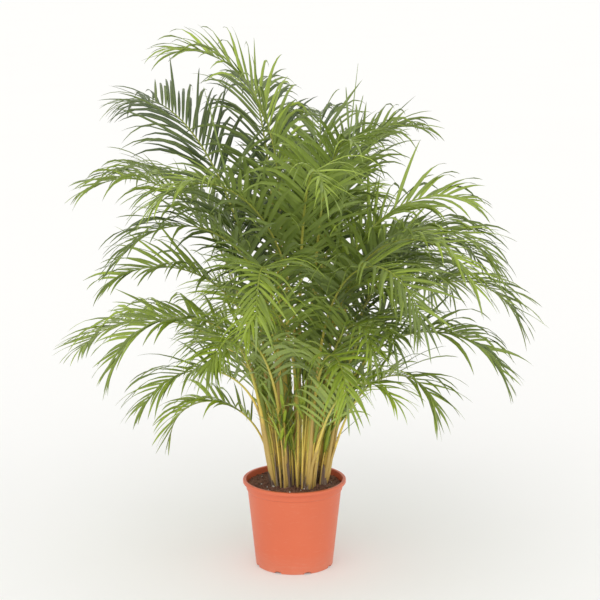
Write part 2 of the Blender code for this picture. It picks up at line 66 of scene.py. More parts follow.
# ---- how the clump grows: the same values as the solid model ------------------------------
CANE_COUNT = 14
CLUMP_RADIUS = 0.062
CLUMP_OFFSET = 0.006
GOLDEN_ANGLE = 137.508
CANE_BURIED = 0.045
CANE_BASE_RADIUS = 0.0085
CANE_TOP_RADIUS = 0.0050
MIDDLE_CANE_HEIGHT = 0.43
OUTER_CANE_HEIGHT = 0.28
MIDDLE_CANE_LEAN = 1.5
OUTER_CANE_LEAN = 9.5
SOIL_TOP = 0.190          # at the pot's wall
SOIL_CROWN = 0.004
STALK_WIDTH = 0.0085
STALK_THICKNESS = 0.0062
TIP_WIDTH = 0.0024
TIP_THICKNESS = 0.0020
BARE_STALK_SHARE = 0.26   # of a leaf's length that carries no leaflets
GAP = 0.0003

# ---- pot wall -----------------------------------------------------------------------------
BASE_RADIUS = 0.090
POT_WALL = 0.0022
POT_FLOOR = 0.0030
LIP_HEIGHT = 0.008
LIP_REACH = 0.0055        # of the lip beyond the collar
COLLAR_HEIGHT = 0.026     # from the top of the rim down to the stacking step
COLLAR_STEP = 0.0030
COLLAR_TAPER = 0.0025     # how much wider the collar is under the lip than at the step
CREASE_ANGLE = 38         # between faces of the pot that meet in a sharp edge
DRAIN_COUNT = 8
DRAIN_PHASE = 20.0
DRAIN_HOLE_RADIUS = 0.006
DRAIN_HOLE_INSET = 0.024  # of the drain holes' centres from the edge of the base
NOTCH_WIDTH = 0.017
NOTCH_HEIGHT = 0.0055
ARCH_POINTS = 13
DRILL_SIDES = 24

# ---- soil ---------------------------------------------------------------------------------
SOIL_RISE = 0.0035        # of the loose surface above the packed soil
SOIL_RINGS = 84
SOIL_SECTORS = 216
SOIL_OVERLAP = 0.0008     # of the surface into the pot's wall
LUMPS = ((0.030, 1, 0.55), (0.011, 2, 0.50), (0.0028, 4, 0.30))  # wavelength, seed, share
ROUND_LUMPS = (0.0055, 3, 0.45)   # the same, for round lumps with creases between them
SOIL_EDGE_DEPTH = 0.012   # of the turn from the surface to the side
SOIL_EDGE_GAP = 0.0006    # between the soil and the wall at that depth
STONE_RINGS = 3
STONE_SIDES = 6
FIBRE_RINGS = 6
FIBRE_SIDES = 4
SOIL_SEED = 11

# ---- canes --------------------------------------------------------------------------------
CANE_RINGS = 84
CANE_SIDES = 16
FLARE_HEIGHT = 0.022      # over which a cane's flare at the soil dies away
HUSKS = 3                 # dry sheaths round the foot of a cane
HUSK_WALL = 0.0007
HUSK_RINGS = 9
HUSK_STEPS = 5            # across the arc of a sheath
CANE_SEED = 100

# ---- leaf stalks and leaflets -------------------------------------------------------------
STALK_SIDES = 10
STALK_RINGS = 46
SHEATH_RINGS = 9
LEAFLET_STEPS = 28
LEAFLET_RINGS = np.array([0, 2, 5, 9, 14, 19, 23, 26])    # of the steps along a leaflet
LEAFLET_OUTLINE = (0.30, 0.66, 0.94, 1.0, 0.88, 0.66, 0.42, 0.20)  # half width at each ring
SECTION_ACROSS = np.array([1.0, 0.5, 0.0, -0.5, -1.0, 0.0])
SECTION_RISE = np.array([-0.26, -0.10, 0.0, -0.10, -0.26, 0.0])  # shares of the half width
SECTION_SKIN = np.array([0.0, 0.55, 1.0, 0.55, 0.0, -1.0])  # shares of half the thickness
SECTION_FACE = np.array([0.0, 1.0, 1.0, 1.0, 0.0, -1.0])    # 1 above, -1 below
LEAF_SEED = 500

# ---- unopened leaves and young stems ------------------------------------------------------
SPEAR_WIDTH = 0.007
SPEAR_RINGS = 60
SPEAR_SIDES = 24
SPEAR_TAPER = ((0, 0.05, 0.4, 0.75, 1), (1.35, 1.0, 0.9, 0.55, 0.1))  # shares: length, width
SPEAR_BOW = 0.012         # how far its tip has bent aside
SPEAR_SEED = 900
SLIVER_STARTS = np.array([0.52, 0.60, 0.68, 0.76])   # shares of a spear where leaflets come free
SLIVER_WIDTH = 0.0060
STRIP_RINGS = 9
STRIP_SIDES = 6
STRIP_FLATNESS = 0.14     # thickness over width
SHOOT_RINGS = 14
SHOOT_SIDES = 8
SHOOT_LEAFLETS_FROM = 7   # lowest ring of a young stem that carries a leaflet
SHOOT_SEED = 77

# ---- lights: name, strength, spread, and the turn and height that they come from ----------
SUNS = (
    ("key", 0.82, 60, 250, 42),
    ("fill", 0.35, 70, 310, 30),
    ("back", 0.15, 60, 90, 50),
)
FLOOR_SIDES = 96
CAMERA_ASIDE = 0.013      # of the camera to the right of the pot's axis
CLIP_END = 200.0


class Leaf(NamedTuple):
    """One leaf: where it leaves its cane and how its stalk bends."""

    cane: int
    up: float      # how far up its cane its foot is, as a share: 1 is on its top
    turn: float    # direction it grows out in
    lean: float    # of its foot away from the cane
    length: float  # of stalk and rachis together
    arch: float    # how far it has bent over at its tip
    late: float    # 1 for an even bend, more for a bend near the tip
    sway: float    # how far it has turned sideways at its tip
    roll: float    # of the blade about the rachis


LEAVES = (
    # left side, top to bottom
    Leaf(1, 1.0, 180, -3, 0.74, 100, 3.6, 0, 20),
    Leaf(4, 0.50, 132, 0, 0.99, 110, 2.2, -10, 15),
    Leaf(6, 0.60, 140, 5, 0.86, 92, 1.2, -8, -15),
    Leaf(9, 0.96, 180, 7, 0.63, 106, 2.6, 4, 10),
    Leaf(4, 0.75, 205, 5, 0.52, 105, 1.4, 0, 20),
    Leaf(9, 0.76, 168, 20, 0.53, 104, 0.9, -16, -10),
    Leaf(12, 0.96, 190, 4, 0.44, 150, 1.1, 0, 15),
    Leaf(12, 0.62, 214, 9, 0.38, 122, 1.1, 0, 0),
    Leaf(9, 0.20, 170, 8, 0.34, 155, 1.4, 0, 0),
    # right side, top to bottom
    Leaf(3, 0.96, 28, 0, 0.62, 100, 2.9, 0, -15),
    Leaf(5, 0.96, 8, 0, 0.55, 108, 1.9, 0, -25),
    Leaf(8, 0.90, -30, 0, 0.61, 145, 1.8, 8, 0),
    Leaf(8, 0.85, 58, 0, 0.50, 108, 1.5, -20, -15),
    Leaf(8, 0.30, 5, 7, 0.70, 140, 2.1, 4, 10),
    Leaf(13, 0.60, -10, 2, 0.52, 142, 1.3, 0, -10),
    Leaf(13, 0.25, -32, 8, 0.43, 155, 2.2, -6, 0),
    Leaf(10, 0.20, -53, 14, 0.43, 100, 2.2, 0, 10),
    # front
    Leaf(7, 0.75, 266, 2, 0.66, 132, 1.6, 0, 10),
    Leaf(10, 0.80, 300, 1, 0.66, 140, 1.7, 0, -15),
    Leaf(2, 0.95, 278, 0, 0.66, 115, 2.0, 0, 15),
    Leaf(0, 0.94, 285, 1, 0.58, 95, 2.4, 0, 0),
    Leaf(2, 0.80, 205, 1, 0.70, 118, 1.9, 25, -15),
    Leaf(7, 0.40, 246, 5, 0.54, 115, 1.6, 0, 10),
    Leaf(10, 0.55, 282, 4, 0.46, 140, 1.5, 0, 0),
    Leaf(5, 0.75, 310, 2, 0.68, 138, 1.8, 8, 10),
    Leaf(7, 0.96, 208, 1, 0.60, 130, 1.8, 0, -10),
    Leaf(13, 0.96, 30, 1, 0.54, 130, 1.7, 0, 15),
    Leaf(12, 0.40, 256, 4, 0.52, 116, 1.7, 0, 0),
    Leaf(5, 0.35, 285, 3, 0.56, 120, 1.7, 0, 10),
    Leaf(2, 0.40, 250, 3, 0.56, 118, 1.7, 0, -10),
    Leaf(0, 0.30, 300, 2, 0.60, 110, 1.9, 0, 10),
    Leaf(13, 0.45, 284, 4, 0.54, 118, 1.8, 0, 0),
    # back
    Leaf(3, 0.75, 70, 6, 0.74, 94, 2.0, 0, 15),
    Leaf(6, 0.80, 88, 2, 0.72, 108, 1.9, 0, -10),
    Leaf(11, 0.80, 75, 2, 0.70, 125, 1.7, 0, 10),
    Leaf(1, 0.85, 100, 1, 0.80, 100, 2.2, 0, -15),
    Leaf(11, 0.55, 50, 5, 0.72, 140, 1.5, 0, 15),
    Leaf(6, 0.35, 115, 6, 0.66, 145, 1.4, 0, 0),
    Leaf(0, 0.80, 90, 0, 0.66, 95, 2.4, 0, 20),
    Leaf(8, 0.55, 48, 4, 0.66, 140, 1.6, 0, 10),
)

# unopened leaves: cane, direction, lean, length
SPEARS = ((4, 185, 6, 0.60), (5, 80, 3, 0.65), (0, 95, 2, 0.45), (12, 120, 2, 0.36))


def along(share, start, end):
    """Straight-line blend from start to end."""
    return start + (end - start) * share


def unit(vectors):
    """Vectors of length one."""
    return vectors / np.linalg.norm(vectors, axis=-1, keepdims=True)


def polar(radius, angle, height):
    """Points round the Z axis: (r cos a, r sin a, z)."""
    x, y = radius * np.cos(angle), radius * np.sin(angle)
    return np.stack(np.broadcast_arrays(x, y, height), axis=-1)


def compass(degrees):
    """Level directions, measured from +X towards +Y."""
    return polar(1.0, np.radians(degrees), 0.0)


def dot(a, b):
    """Scalar products, kept as a last axis of one."""
    return np.sum(a * b, axis=-1, keepdims=True)


def turns(count):
    """Angles in radians spread evenly round a circle."""
    return np.arange(count) * math.tau / count


def smooth(values, low, high):
    """Rises from 0 at low to 1 at high with level ends: 3t^2 - 2t^3."""
    t = np.clip((values - low) / (high - low), 0, 1)
    return t * t * (3 - 2 * t)


def ripples(points, wavelength, seed, waves=9):
    """A soft random field about 0: the sum of sine waves in random directions / sqrt(waves)."""
    random = np.random.default_rng(seed)
    directions = unit(random.normal(size=(waves, 3))) * math.tau / wavelength
    directions = directions * random.uniform(0.6, 1.5, (waves, 1))
    phases = random.uniform(0, math.tau, waves)
    return np.sin(points @ directions.T + phases).sum(axis=-1) / math.sqrt(waves)


# ---- meshes -------------------------------------------------------------------------------
class Surface:
    """Grids of points and their faces, gathered into one mesh, with values kept on the points."""

    def __init__(self):
        self.points, self.corners, self.sizes, self.finishes = [], [], [], []
        self.values = {}
        self.count = 0

    def add_faces(self, faces, finish):
        """Take in faces of one size, given as rows of point numbers."""
        self.corners.append(faces.reshape(-1))
        self.sizes.append(np.full(len(faces), faces.shape[1]))
        self.finishes.append(np.full(len(faces), finish))

    def tubes(self, grid, start, end, finish=0, **values):
        """Closed tubes: grid[tube, ring, corner] with each end drawn in to a point.

        Corners count anticlockwise as seen from the far end, so faces look outwards. Values
        spread over the same grid, and an end takes the mean of its ring.
        """
        tubes, rings, sides, _ = grid.shape
        numbers = self.count + np.arange(tubes * rings * sides).reshape(tubes, rings, sides)
        starts = numbers[-1, -1, -1] + 1 + np.arange(tubes)[:, None]
        ends = starts + tubes
        following = np.roll(numbers, -1, axis=2)
        quads = [numbers[:, :-1], following[:, :-1], following[:, 1:], numbers[:, 1:]]
        self.add_faces(np.stack(quads, axis=-1).reshape(-1, 4), finish)
        for tip, first, second in (
            (starts, following[:, 0], numbers[:, 0]), (ends, numbers[:, -1], following[:, -1])
        ):
            fan = np.stack([np.broadcast_to(tip, first.shape), first, second], axis=-1)
            self.add_faces(fan.reshape(-1, 3), finish)
        self.points += [grid.reshape(-1, 3), start, end]
        for name, value in values.items():
            value = np.broadcast_to(value, (tubes, rings, sides))
            ends_of = [value[:, 0].mean(axis=1), value[:, -1].mean(axis=1)]
            self.values.setdefault(name, []).append(np.concatenate([value.reshape(-1), *ends_of]))
        self.count += tubes * rings * sides + 2 * tubes

    def mesh(self, name, sharp=None):
        """The finished mesh; an edge whose two points both have the sharp value is a crease."""
        points = np.concatenate(self.points)
        corners, sizes = np.concatenate(self.corners), np.concatenate(self.sizes)
        mesh = bpy.data.meshes.new(name)
        mesh.vertices.add(len(points))
        mesh.vertices.foreach_set("co", points.astype(np.float32).reshape(-1))
        mesh.loops.add(len(corners))
        mesh.loops.foreach_set("vertex_index", corners.astype(np.int32))
        mesh.polygons.add(len(sizes))
        starts = np.concatenate([[0], np.cumsum(sizes)[:-1]])
        mesh.polygons.foreach_set("loop_start", starts.astype(np.int32))
        mesh.polygons.foreach_set("material_index", np.concatenate(self.finishes).astype(np.int32))
        mesh.update(calc_edges=True)
        mesh.shade_smooth()
        for key, parts in self.values.items():
            field = mesh.attributes.new(key, "FLOAT", "POINT")
            field.data.foreach_set("value", np.concatenate(parts).astype(np.float32))
        if sharp:
            ends = np.empty(len(mesh.edges) * 2, np.int32)
            mesh.edges.foreach_get("vertices", ends)
            marked = np.concatenate(self.values[sharp])[ends.reshape(-1, 2)] > 0.5
            crease = mesh.attributes.new("sharp_edge", "BOOLEAN", "EDGE")
            crease.data.foreach_set("value", marked.all(axis=1))
        return mesh


def piece(name, mesh, finishes, slot, *nodes):
    """Put a mesh into the scene as a piece that rides on the part and stands for CAD nodes."""
    made = bpy.data.objects.new(name, mesh)
    bpy.context.scene.collection.objects.link(made)
    for finish in finishes:
        mesh.materials.append(finish)
    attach(made, BODY)
    if nodes:
        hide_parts(*nodes)
    return made


def frames_along(centres, reference):
    """Forward, side and upper directions along a row of points, side square to a reference."""
    forward = unit(np.gradient(centres, axis=0))
    side = unit(np.cross(forward, reference))
    return forward, side, np.cross(side, forward)


def round_grid(centres, side, upper, radii, sides):
    """Rings about centres: centre + radius * (cos a * side + sin a * upper)."""
    turn = turns(sides)
    circle = np.cos(turn)[:, None] * side[..., None, :] + np.sin(turn)[:, None] * upper[..., None, :]
    return centres[..., None, :] + circle * np.asarray(radii)[..., None, None]


def revolved(name, profile, sides):
    """Turn a closed (r, z) outline about the Z axis, on which its ends lie."""
    grid = polar(profile[1:-1, :1], turns(sides), profile[1:-1, 1:])
    surface = Surface()
    surface.tubes(grid[None], profile[:1, 1:] * UP, profile[-1:, 1:] * UP)
    return surface.mesh(name)


def filleted(corners, radii, steps=6):
    """An (r, z) outline with each corner rounded by a curve that touches both of its sides."""
    corners = np.asarray(corners, float)
    outline = [corners[:1]]
    t = np.linspace(0, 1, steps + 1)[:, None]
    for before, corner, after, radius in zip(corners, corners[1:], corners[2:], radii):
        if not radius:
            outline.append(corner[None])
            continue
        reach_in = min(radius, 0.45 * np.linalg.norm(before - corner))
        reach_out = min(radius, 0.45 * np.linalg.norm(after - corner))
        first = corner + unit(before - corner) * reach_in
        last = corner + unit(after - corner) * reach_out
        outline.append(first * (1 - t) ** 2 + corner * 2 * t * (1 - t) + last * t**2)
    return np.concatenate([*outline, corners[-1:]])


# ---- finishes -----------------------------------------------------------------------------
class Finish:
    """A material in the making: a Principled shader and short calls for what feeds it."""

    def __init__(self, name, **inputs):
        self.material = bpy.data.materials.new(name)
        self.material.use_nodes = True
        self.tree = self.material.node_tree
        self.shader = self.tree.nodes["Principled BSDF"]
        self.feed(self.shader, inputs)

    def feed(self, node, inputs):
        """Set or link a node's inputs; underscores in their names stand for spaces."""
        for name, value in inputs.items():
            socket = node.inputs[name.replace("_", " ") if isinstance(name, str) else name]
            if isinstance(value, bpy.types.NodeSocket):
                self.tree.links.new(value, socket)
            else:
                socket.default_value = value

    def node(self, kind, settings=(), output=0, **inputs):
        """Add a node and give one of its outputs."""
        node = self.tree.nodes.new(f"ShaderNode{kind}")
        for name, value in dict(settings).items():
            setattr(node, name, value)
        self.feed(node, inputs)
        return node.outputs[output]

    def value(self, name):
        """A value kept on the mesh."""
        return self.node("Attribute", {"attribute_name": name}, "Fac")

    def place(self):
        """Object coordinates."""
        return self.node("TexCoord", output="Object")

    def stretched(self, vector, scale):
        """Coordinates stretched by a scale for each axis."""
        return self.node("Mapping", Vector=vector, Scale=scale)

    def noise(self, vector, scale, detail=3.0, roughness=0.5):
        """Soft noise from 0 to 1."""
        return self.node("TexNoise", Vector=vector, Scale=scale, Detail=detail, Roughness=roughness)

    def maths(self, operation, first, second=0.0, third=0.0):
        """A Math node."""
        node = self.tree.nodes.new("ShaderNodeMath")
        node.operation = operation
        self.feed(node, {0: first, 1: second, 2: third})
        return node.outputs[0]

    def shifted(self, value, cloud, amount):
        """A value moved up and down by half of an amount with a cloud of noise."""
        centred = self.maths("SUBTRACT", cloud, 0.5)
        return self.maths("MULTIPLY_ADD", centred, amount, value)

    def between(self, value, low, high, start=0.0, end=1.0):
        """A value's range from low to high spread over start to end."""
        inputs = {"From Min": low, "From Max": high, "To Min": start, "To Max": end}
        return self.node("MapRange", Value=value, **inputs)

    def mixed(self, share, first, second):
        """Two colours mixed by a share of the second."""
        node = self.tree.nodes.new("ShaderNodeMix")
        node.data_type = "RGBA"
        self.feed(node, {0: share, 6: first, 7: second})
        return node.outputs[2]

    def stained(self, body, value, low, high, most, colour):
        """A colour mixed with another: none of it at a low value and most at a high one."""
        return self.mixed(self.between(value, low, high, 0.0, most), body, colour)

    def ramp(self, value, *stops):
        """A colour for each value: stops of (place, colour)."""
        node = self.tree.nodes.new("ShaderNodeValToRGB")
        self.feed(node, {0: value})
        row = node.color_ramp.elements
        while len(row) < len(stops):
            row.new(0.5)
        for stop, (place, colour) in zip(row, stops):
            stop.position, stop.color = place, colour
        return node.outputs[0]

    def done(self, height=None, distance=0.001, strength=1.0, **inputs):
        """Join the last inputs and a bump height to the shader."""
        self.feed(self.shader, inputs)
        if height is not None:
            bump = self.node("Bump", Height=height, Distance=distance, Strength=strength)
            self.tree.links.new(bump, self.shader.inputs["Normal"])
        return self.material


def rgb(red, green, blue):
    """A colour with its alpha."""
    return (red, green, blue, 1.0)


def blend(share, first, second):
    """A colour on the way from one to another."""
    return rgb(*(along(share, a, b) for a, b in zip(first, second)))


def tinted(colour, *factors):
    """A colour with its red, green and blue multiplied."""
    return rgb(*(part * factor for part, factor in zip(colour, factors)))


def plastic_finish(colour):
    """Matt terracotta plastic: fine skin, faint moulding rings, dust towards the foot."""
    finish = Finish("terracotta_plastic", Specular_IOR_Level=0.45)
    place = finish.place()
    cloud = finish.noise(place, 9.0, 4.0)
    skin = finish.noise(place, 900.0, 2.0)
    smears = finish.noise(finish.stretched(place, (14.0, 14.0, 60.0)), 3.0, 5.0, 0.65)
    height = finish.node("SeparateXYZ", output="Z", Vector=place)
    dust = finish.between(height, 0.0, 0.05, 0.35, 0.0)
    dust = finish.maths("MULTIPLY", dust, smears)
    warm, cool = tinted(colour, 1.04, 1.12, 1.15), tinted(colour, 0.94, 0.88, 0.85)
    body = finish.mixed(cloud, cool, warm)
    body = finish.stained(body, smears, 0.56, 0.75, 0.18, rgb(0.80, 0.36, 0.24))
    body = finish.mixed(dust, body, rgb(0.62, 0.42, 0.32))
    rings = finish.maths("SINE", finish.maths("MULTIPLY", height, 2400.0))
    relief = finish.maths("MULTIPLY_ADD", rings, 0.12, skin)
    roughness = finish.between(smears, 0.3, 0.8, 0.36, 0.52)
    return finish.done(relief, 0.00022, 0.35, Base_Color=body, Roughness=roughness)


def soil_finish(dark, light):
    """Moist coir soil: reddish-brown crumbs with pale fibres."""
    finish = Finish("potting_soil", Specular_IOR_Level=0.25)
    place = finish.place()
    crumbs = finish.noise(place, 210.0, 6.0, 0.7)
    patches = finish.noise(place, 26.0, 3.0)
    threads = finish.noise(finish.stretched(place, (900.0, 160.0, 300.0)), 1.0, 2.0)
    middle = blend(0.45, dark, light)
    body = finish.ramp(crumbs, (0.32, rgb(*dark)), (0.52, middle), (0.78, rgb(*light)))
    body = finish.stained(body, patches, 0.4, 0.65, 0.45, rgb(*dark))
    body = finish.stained(body, threads, 0.62, 0.72, 0.5, rgb(0.30, 0.19, 0.12))
    roughness = finish.between(crumbs, 0.3, 0.7, 0.75, 0.95)
    return finish.done(crumbs, 0.0016, 0.9, Base_Color=body, Roughness=roughness)


def fibre_finish():
    """Dry coir: straw to dark brown from one fibre to the next."""
    finish = Finish("coir_fibre", Specular_IOR_Level=0.3)
    grain = finish.noise(finish.place(), 700.0, 3.0)
    body = finish.ramp(
        finish.value("tone"), (0.0, rgb(0.06, 0.030, 0.020)), (0.6, rgb(0.17, 0.09, 0.055)),
        (1.0, rgb(0.36, 0.24, 0.15)),
    )
    body = finish.stained(body, grain, 0.4, 0.7, 0.5, rgb(0.05, 0.028, 0.02))
    roughness = finish.between(grain, 0.3, 0.7, 0.6, 0.9)
    return finish.done(grain, 0.0002, 0.6, Base_Color=body, Roughness=roughness)


def perlite_finish():
    """Perlite: chalky white, pitted, with soil in its pits."""
    finish = Finish("perlite", Specular_IOR_Level=0.3)
    pits = finish.noise(finish.place(), 900.0, 4.0, 0.6)
    body = finish.ramp(pits, (0.35, rgb(0.34, 0.28, 0.24)), (0.55, rgb(0.80, 0.78, 0.73)))
    roughness = finish.between(pits, 0.3, 0.7, 0.95, 0.7)
    return finish.done(pits, 0.0008, 0.8, Base_Color=body, Roughness=roughness)


def cane_finish(bark, gold):
    """Ringed canes: mauve-brown at the soil, gold above, green near the top."""
    finish = Finish("cane_sheath", Specular_IOR_Level=0.5)
    place = finish.place()
    up, tone, ring = finish.value("up"), finish.value("tone"), finish.value("ring")
    streaks = finish.noise(finish.stretched(place, (260.0, 260.0, 9.0)), 1.0, 4.0, 0.6)
    blotches = finish.noise(place, 38.0, 4.0, 0.6)
    shifted = finish.maths("MULTIPLY_ADD", tone, 0.14, finish.shifted(up, blotches, 0.35))
    body = finish.ramp(
        shifted, (0.0, rgb(*bark)), (0.12, rgb(0.36, 0.25, 0.13)), (0.26, rgb(*gold)),
        (0.52, rgb(0.60, 0.56, 0.11)), (0.85, rgb(0.30, 0.40, 0.07)),
    )
    body = finish.stained(body, streaks, 0.50, 0.78, 0.55, rgb(0.66, 0.56, 0.28))
    body = finish.stained(body, streaks, 0.44, 0.26, 0.6, rgb(0.20, 0.24, 0.05))
    body = finish.stained(body, ring, 0.90, 1.0, 0.65, rgb(0.15, 0.10, 0.06))
    roughness = finish.between(blotches, 0.3, 0.7, 0.42, 0.62)
    return finish.done(streaks, 0.0005, 0.5, Base_Color=body, Roughness=roughness)


def husk_finish():
    """Dry sheaths at the foot of the canes: papery mauve, grey and brown."""
    finish = Finish("dry_sheath", Specular_IOR_Level=0.3)
    place = finish.place()
    fibres = finish.noise(finish.stretched(place, (420.0, 420.0, 12.0)), 1.0, 5.0, 0.65)
    body = finish.ramp(
        finish.value("tone"), (0.0, rgb(0.06, 0.035, 0.028)), (0.45, rgb(0.22, 0.15, 0.12)),
        (1.0, rgb(0.42, 0.33, 0.24)),
    )
    body = finish.stained(body, fibres, 0.45, 0.7, 0.6, rgb(0.45, 0.37, 0.26))
    body = finish.stained(body, fibres, 0.42, 0.25, 0.6, rgb(0.05, 0.03, 0.025))
    roughness = finish.between(fibres, 0.3, 0.7, 0.9, 0.65)
    return finish.done(fibres, 0.0006, 0.8, Base_Color=body, Roughness=roughness)


def stalk_finish(gold, green):
    """Leaf stalks: gold at the sheath, green along the rachis, with fine grooves."""
    finish = Finish("leaf_stalk", Specular_IOR_Level=0.5)
    place = finish.place()
    share, around, tone = finish.value("along"), finish.value("across"), finish.value("tone")
    grooves = finish.maths("SINE", finish.maths("MULTIPLY", around, 42.0))
    blotches = finish.noise(place, 55.0, 4.0, 0.6)
    shifted = finish.maths("MULTIPLY_ADD", tone, -0.10, finish.shifted(share, blotches, 0.3))
    body = finish.ramp(
        shifted, (0.0, rgb(0.60, 0.42, 0.12)), (0.07, rgb(*gold)), (0.26, rgb(0.68, 0.60, 0.12)),
        (0.45, rgb(0.44, 0.46, 0.08)), (0.9, green),
    )
    flecks = finish.noise(place, 260.0, 3.0)
    body = finish.stained(body, flecks, 0.60, 0.75, 0.4, rgb(0.20, 0.14, 0.05))
    roughness = finish.between(blotches, 0.3, 0.7, 0.38, 0.52)
    relief = finish.maths("MULTIPLY_ADD", grooves, 0.3, blotches)
    return finish.done(relief, 0.00025, 0.5, Base_Color=body, Roughness=roughness)


def blade_finish(name, deep, fresh):
    """Leaflets: green by the tone of the leaf (its age and a painted shade towards the back), paler
    below, a light midrib and fine veins.
    """
    finish = Finish(name, Specular_IOR_Level=0.62)
    place = finish.place()
    tone, across = finish.value("tone"), finish.value("across")
    share, face = finish.value("along"), finish.value("face")
    mottle = finish.noise(place, 45.0, 4.0, 0.6)
    # the tone holds painted shade on the leaves at the back as well as their age
    shade = finish.shifted(tone, mottle, 0.30)
    middle = blend(0.42, deep, fresh)
    body = finish.ramp(shade, (0.0, rgb(*deep)), (0.5, middle), (1.0, rgb(*fresh)))
    veins = finish.maths("SINE", finish.maths("MULTIPLY", across, 34.0))
    vein_colour = rgb(0.30, 0.38, 0.10)
    body = finish.stained(body, veins, 0.2, 1.0, 0.12, vein_colour)
    away = finish.maths("ABSOLUTE", across)
    body = finish.stained(body, away, 0.16, 0.02, 0.55, vein_colour)
    body = finish.stained(body, away, 0.90, 1.0, 0.30, rgb(0.34, 0.36, 0.12))
    body = finish.stained(body, face, -0.02, -0.15, 0.42, rgb(0.26, 0.34, 0.14))
    tips = finish.shifted(share, mottle, 0.10)
    body = finish.stained(body, tips, 0.955, 1.0, 0.75, rgb(0.26, 0.17, 0.07))
    roughness = finish.between(mottle, 0.3, 0.7, 0.34, 0.50)
    return finish.done(veins, 0.00012, 0.5, Base_Color=body, Roughness=roughness)


def floor_finish(colour):
    """Pale studio floor with the faintest unevenness."""
    finish = Finish("studio_floor", Specular_IOR_Level=0.0, Roughness=1.0)
    cloud = finish.noise(finish.place(), 0.8, 2.0)
    return finish.done(
        Base_Color=finish.mixed(cloud, tinted(colour, 0.985, 0.985, 0.985), rgb(*colour)),
        Emission_Color=rgb(1.0, 0.995, 0.98), Emission_Strength=0.145,
    )


# ---- pot ----------------------------------------------------------------------------------
def body_radius(height, rim_radius, pot_height):
    """Outside of the tapered body, which ends a step in from the collar."""
    at_step = rim_radius - LIP_REACH - COLLAR_TAPER - COLLAR_STEP
    return along(height / (pot_height - COLLAR_HEIGHT), BASE_RADIUS, at_step)


def pot_outline(height, rim):
    """From the axis out over the inside of the floor, up the wall, over the lip and down outside.

    It starts on top of the floor and ends under it, so the axis closes the solid.
    """
    step_bottom = height - COLLAR_HEIGHT
    body = body_radius(step_bottom, rim, height)
    collar_low, collar_high = body + COLLAR_STEP, rim - LIP_REACH
    lip_bottom, under_lip = height - LIP_HEIGHT, height - POT_WALL * 1.5
    foot = body_radius(0, rim, height)
    corners = [
        (0.0, POT_FLOOR), (foot - POT_WALL, POT_FLOOR), (body - POT_WALL, step_bottom),
        (collar_low - POT_WALL, step_bottom + COLLAR_STEP), (collar_high - POT_WALL, height),
        (rim, height), (rim, lip_bottom), (rim - POT_WALL, lip_bottom), (rim - POT_WALL, under_lip),
        (collar_high, under_lip), (collar_low, step_bottom + COLLAR_STEP), (body, step_bottom),
        (foot, 0.0), (0.0, 0.0),
    ]
    radii = (0.004, 0.006, 0.003, 0.0022, 0.0030, 0.0009, 0.0006, 0.001, 0.001, 0.0016, 0.0012, 0.0022)
    return filleted(corners, radii)


def cutter_of(name, grid, start, end):
    """A closed tube as an object that is only there to be cut out."""
    surface = Surface()
    surface.tubes(grid[None], start, end)
    cutter = bpy.data.objects.new(name, surface.mesh(name))
    bpy.context.scene.collection.objects.link(cutter)
    return cutter


def arch_cutter(name, width, height, depth, centre, turn):
    """A notch cutter: a straight-sided arch, level with the foot, that runs radially."""
    angle = np.linspace(0, math.pi, ARCH_POINTS)
    across = np.cos(angle) * width / 2
    rise = np.maximum(np.sin(angle), 0) ** 0.5 * height
    across, rise = np.append(across, [-width / 2, width / 2]), np.append(rise, [-height, -height])
    out, side = compass(turn), compass(turn + 90)
    ring = across[:, None] * side + rise[:, None] * UP
    grid = np.stack([centre - out * depth / 2 + ring, centre + out * depth / 2 + ring])
    middle = grid.mean(axis=1, keepdims=True)
    return cutter_of(name, grid, middle[0], middle[1])


def drill(name, radius, depth, centre):
    """A round upright cutter."""
    ends = centre + np.outer([-depth / 2, depth / 2], UP)
    across, beside = compass(np.array([0.0, 0.0])), compass(np.array([90.0, 90.0]))
    grid = round_grid(ends, across, beside, [radius] * 2, DRILL_SIDES)
    return cutter_of(name, grid, ends[:1], ends[1:])


def cut_out(target, cutters):
    """Take cutters out of a piece, keep the result and remove the cutters."""
    for cutter in cutters:
        boolean = target.modifiers.new(cutter.name, "BOOLEAN")
        boolean.operation, boolean.solver, boolean.object = "DIFFERENCE", "EXACT", cutter
    bpy.context.view_layer.update()
    evaluated = target.evaluated_get(bpy.context.evaluated_depsgraph_get())
    made = bpy.data.meshes.new_from_object(evaluated)
    target.modifiers.clear()
    target.data = made
    for cutter in cutters:
        bpy.data.objects.remove(cutter, do_unlink=True)


# ---- canes and leaves ---------------------------------------------------------------------
class Cane:
    """Where one cane of the clump stands, in rings that widen out from the middle cane."""

    def __init__(self, index):
        share = math.sqrt((index + 0.5) / CANE_COUNT)
        out = compass(GOLDEN_ANGLE * index)
        lean = math.radians(along(share, MIDDLE_CANE_LEAN, OUTER_CANE_LEAN))
        self.axis = out * math.sin(lean) + UP * math.cos(lean)
        self.foot = out * CLUMP_RADIUS * share + np.array([CLUMP_OFFSET, 0.0, SOIL_TOP])
        self.height = along(share, MIDDLE_CANE_HEIGHT, OUTER_CANE_HEIGHT)
        self.side = unit(np.cross(self.axis, [0.0, 1.0, 0.0]))
        self.beside = np.cross(self.axis, self.side)

    def radius(self, up):
        """Radius at a share of the height above the soil."""
        return along(np.maximum(up, 0.0), CANE_BASE_RADIUS, CANE_TOP_RADIUS)


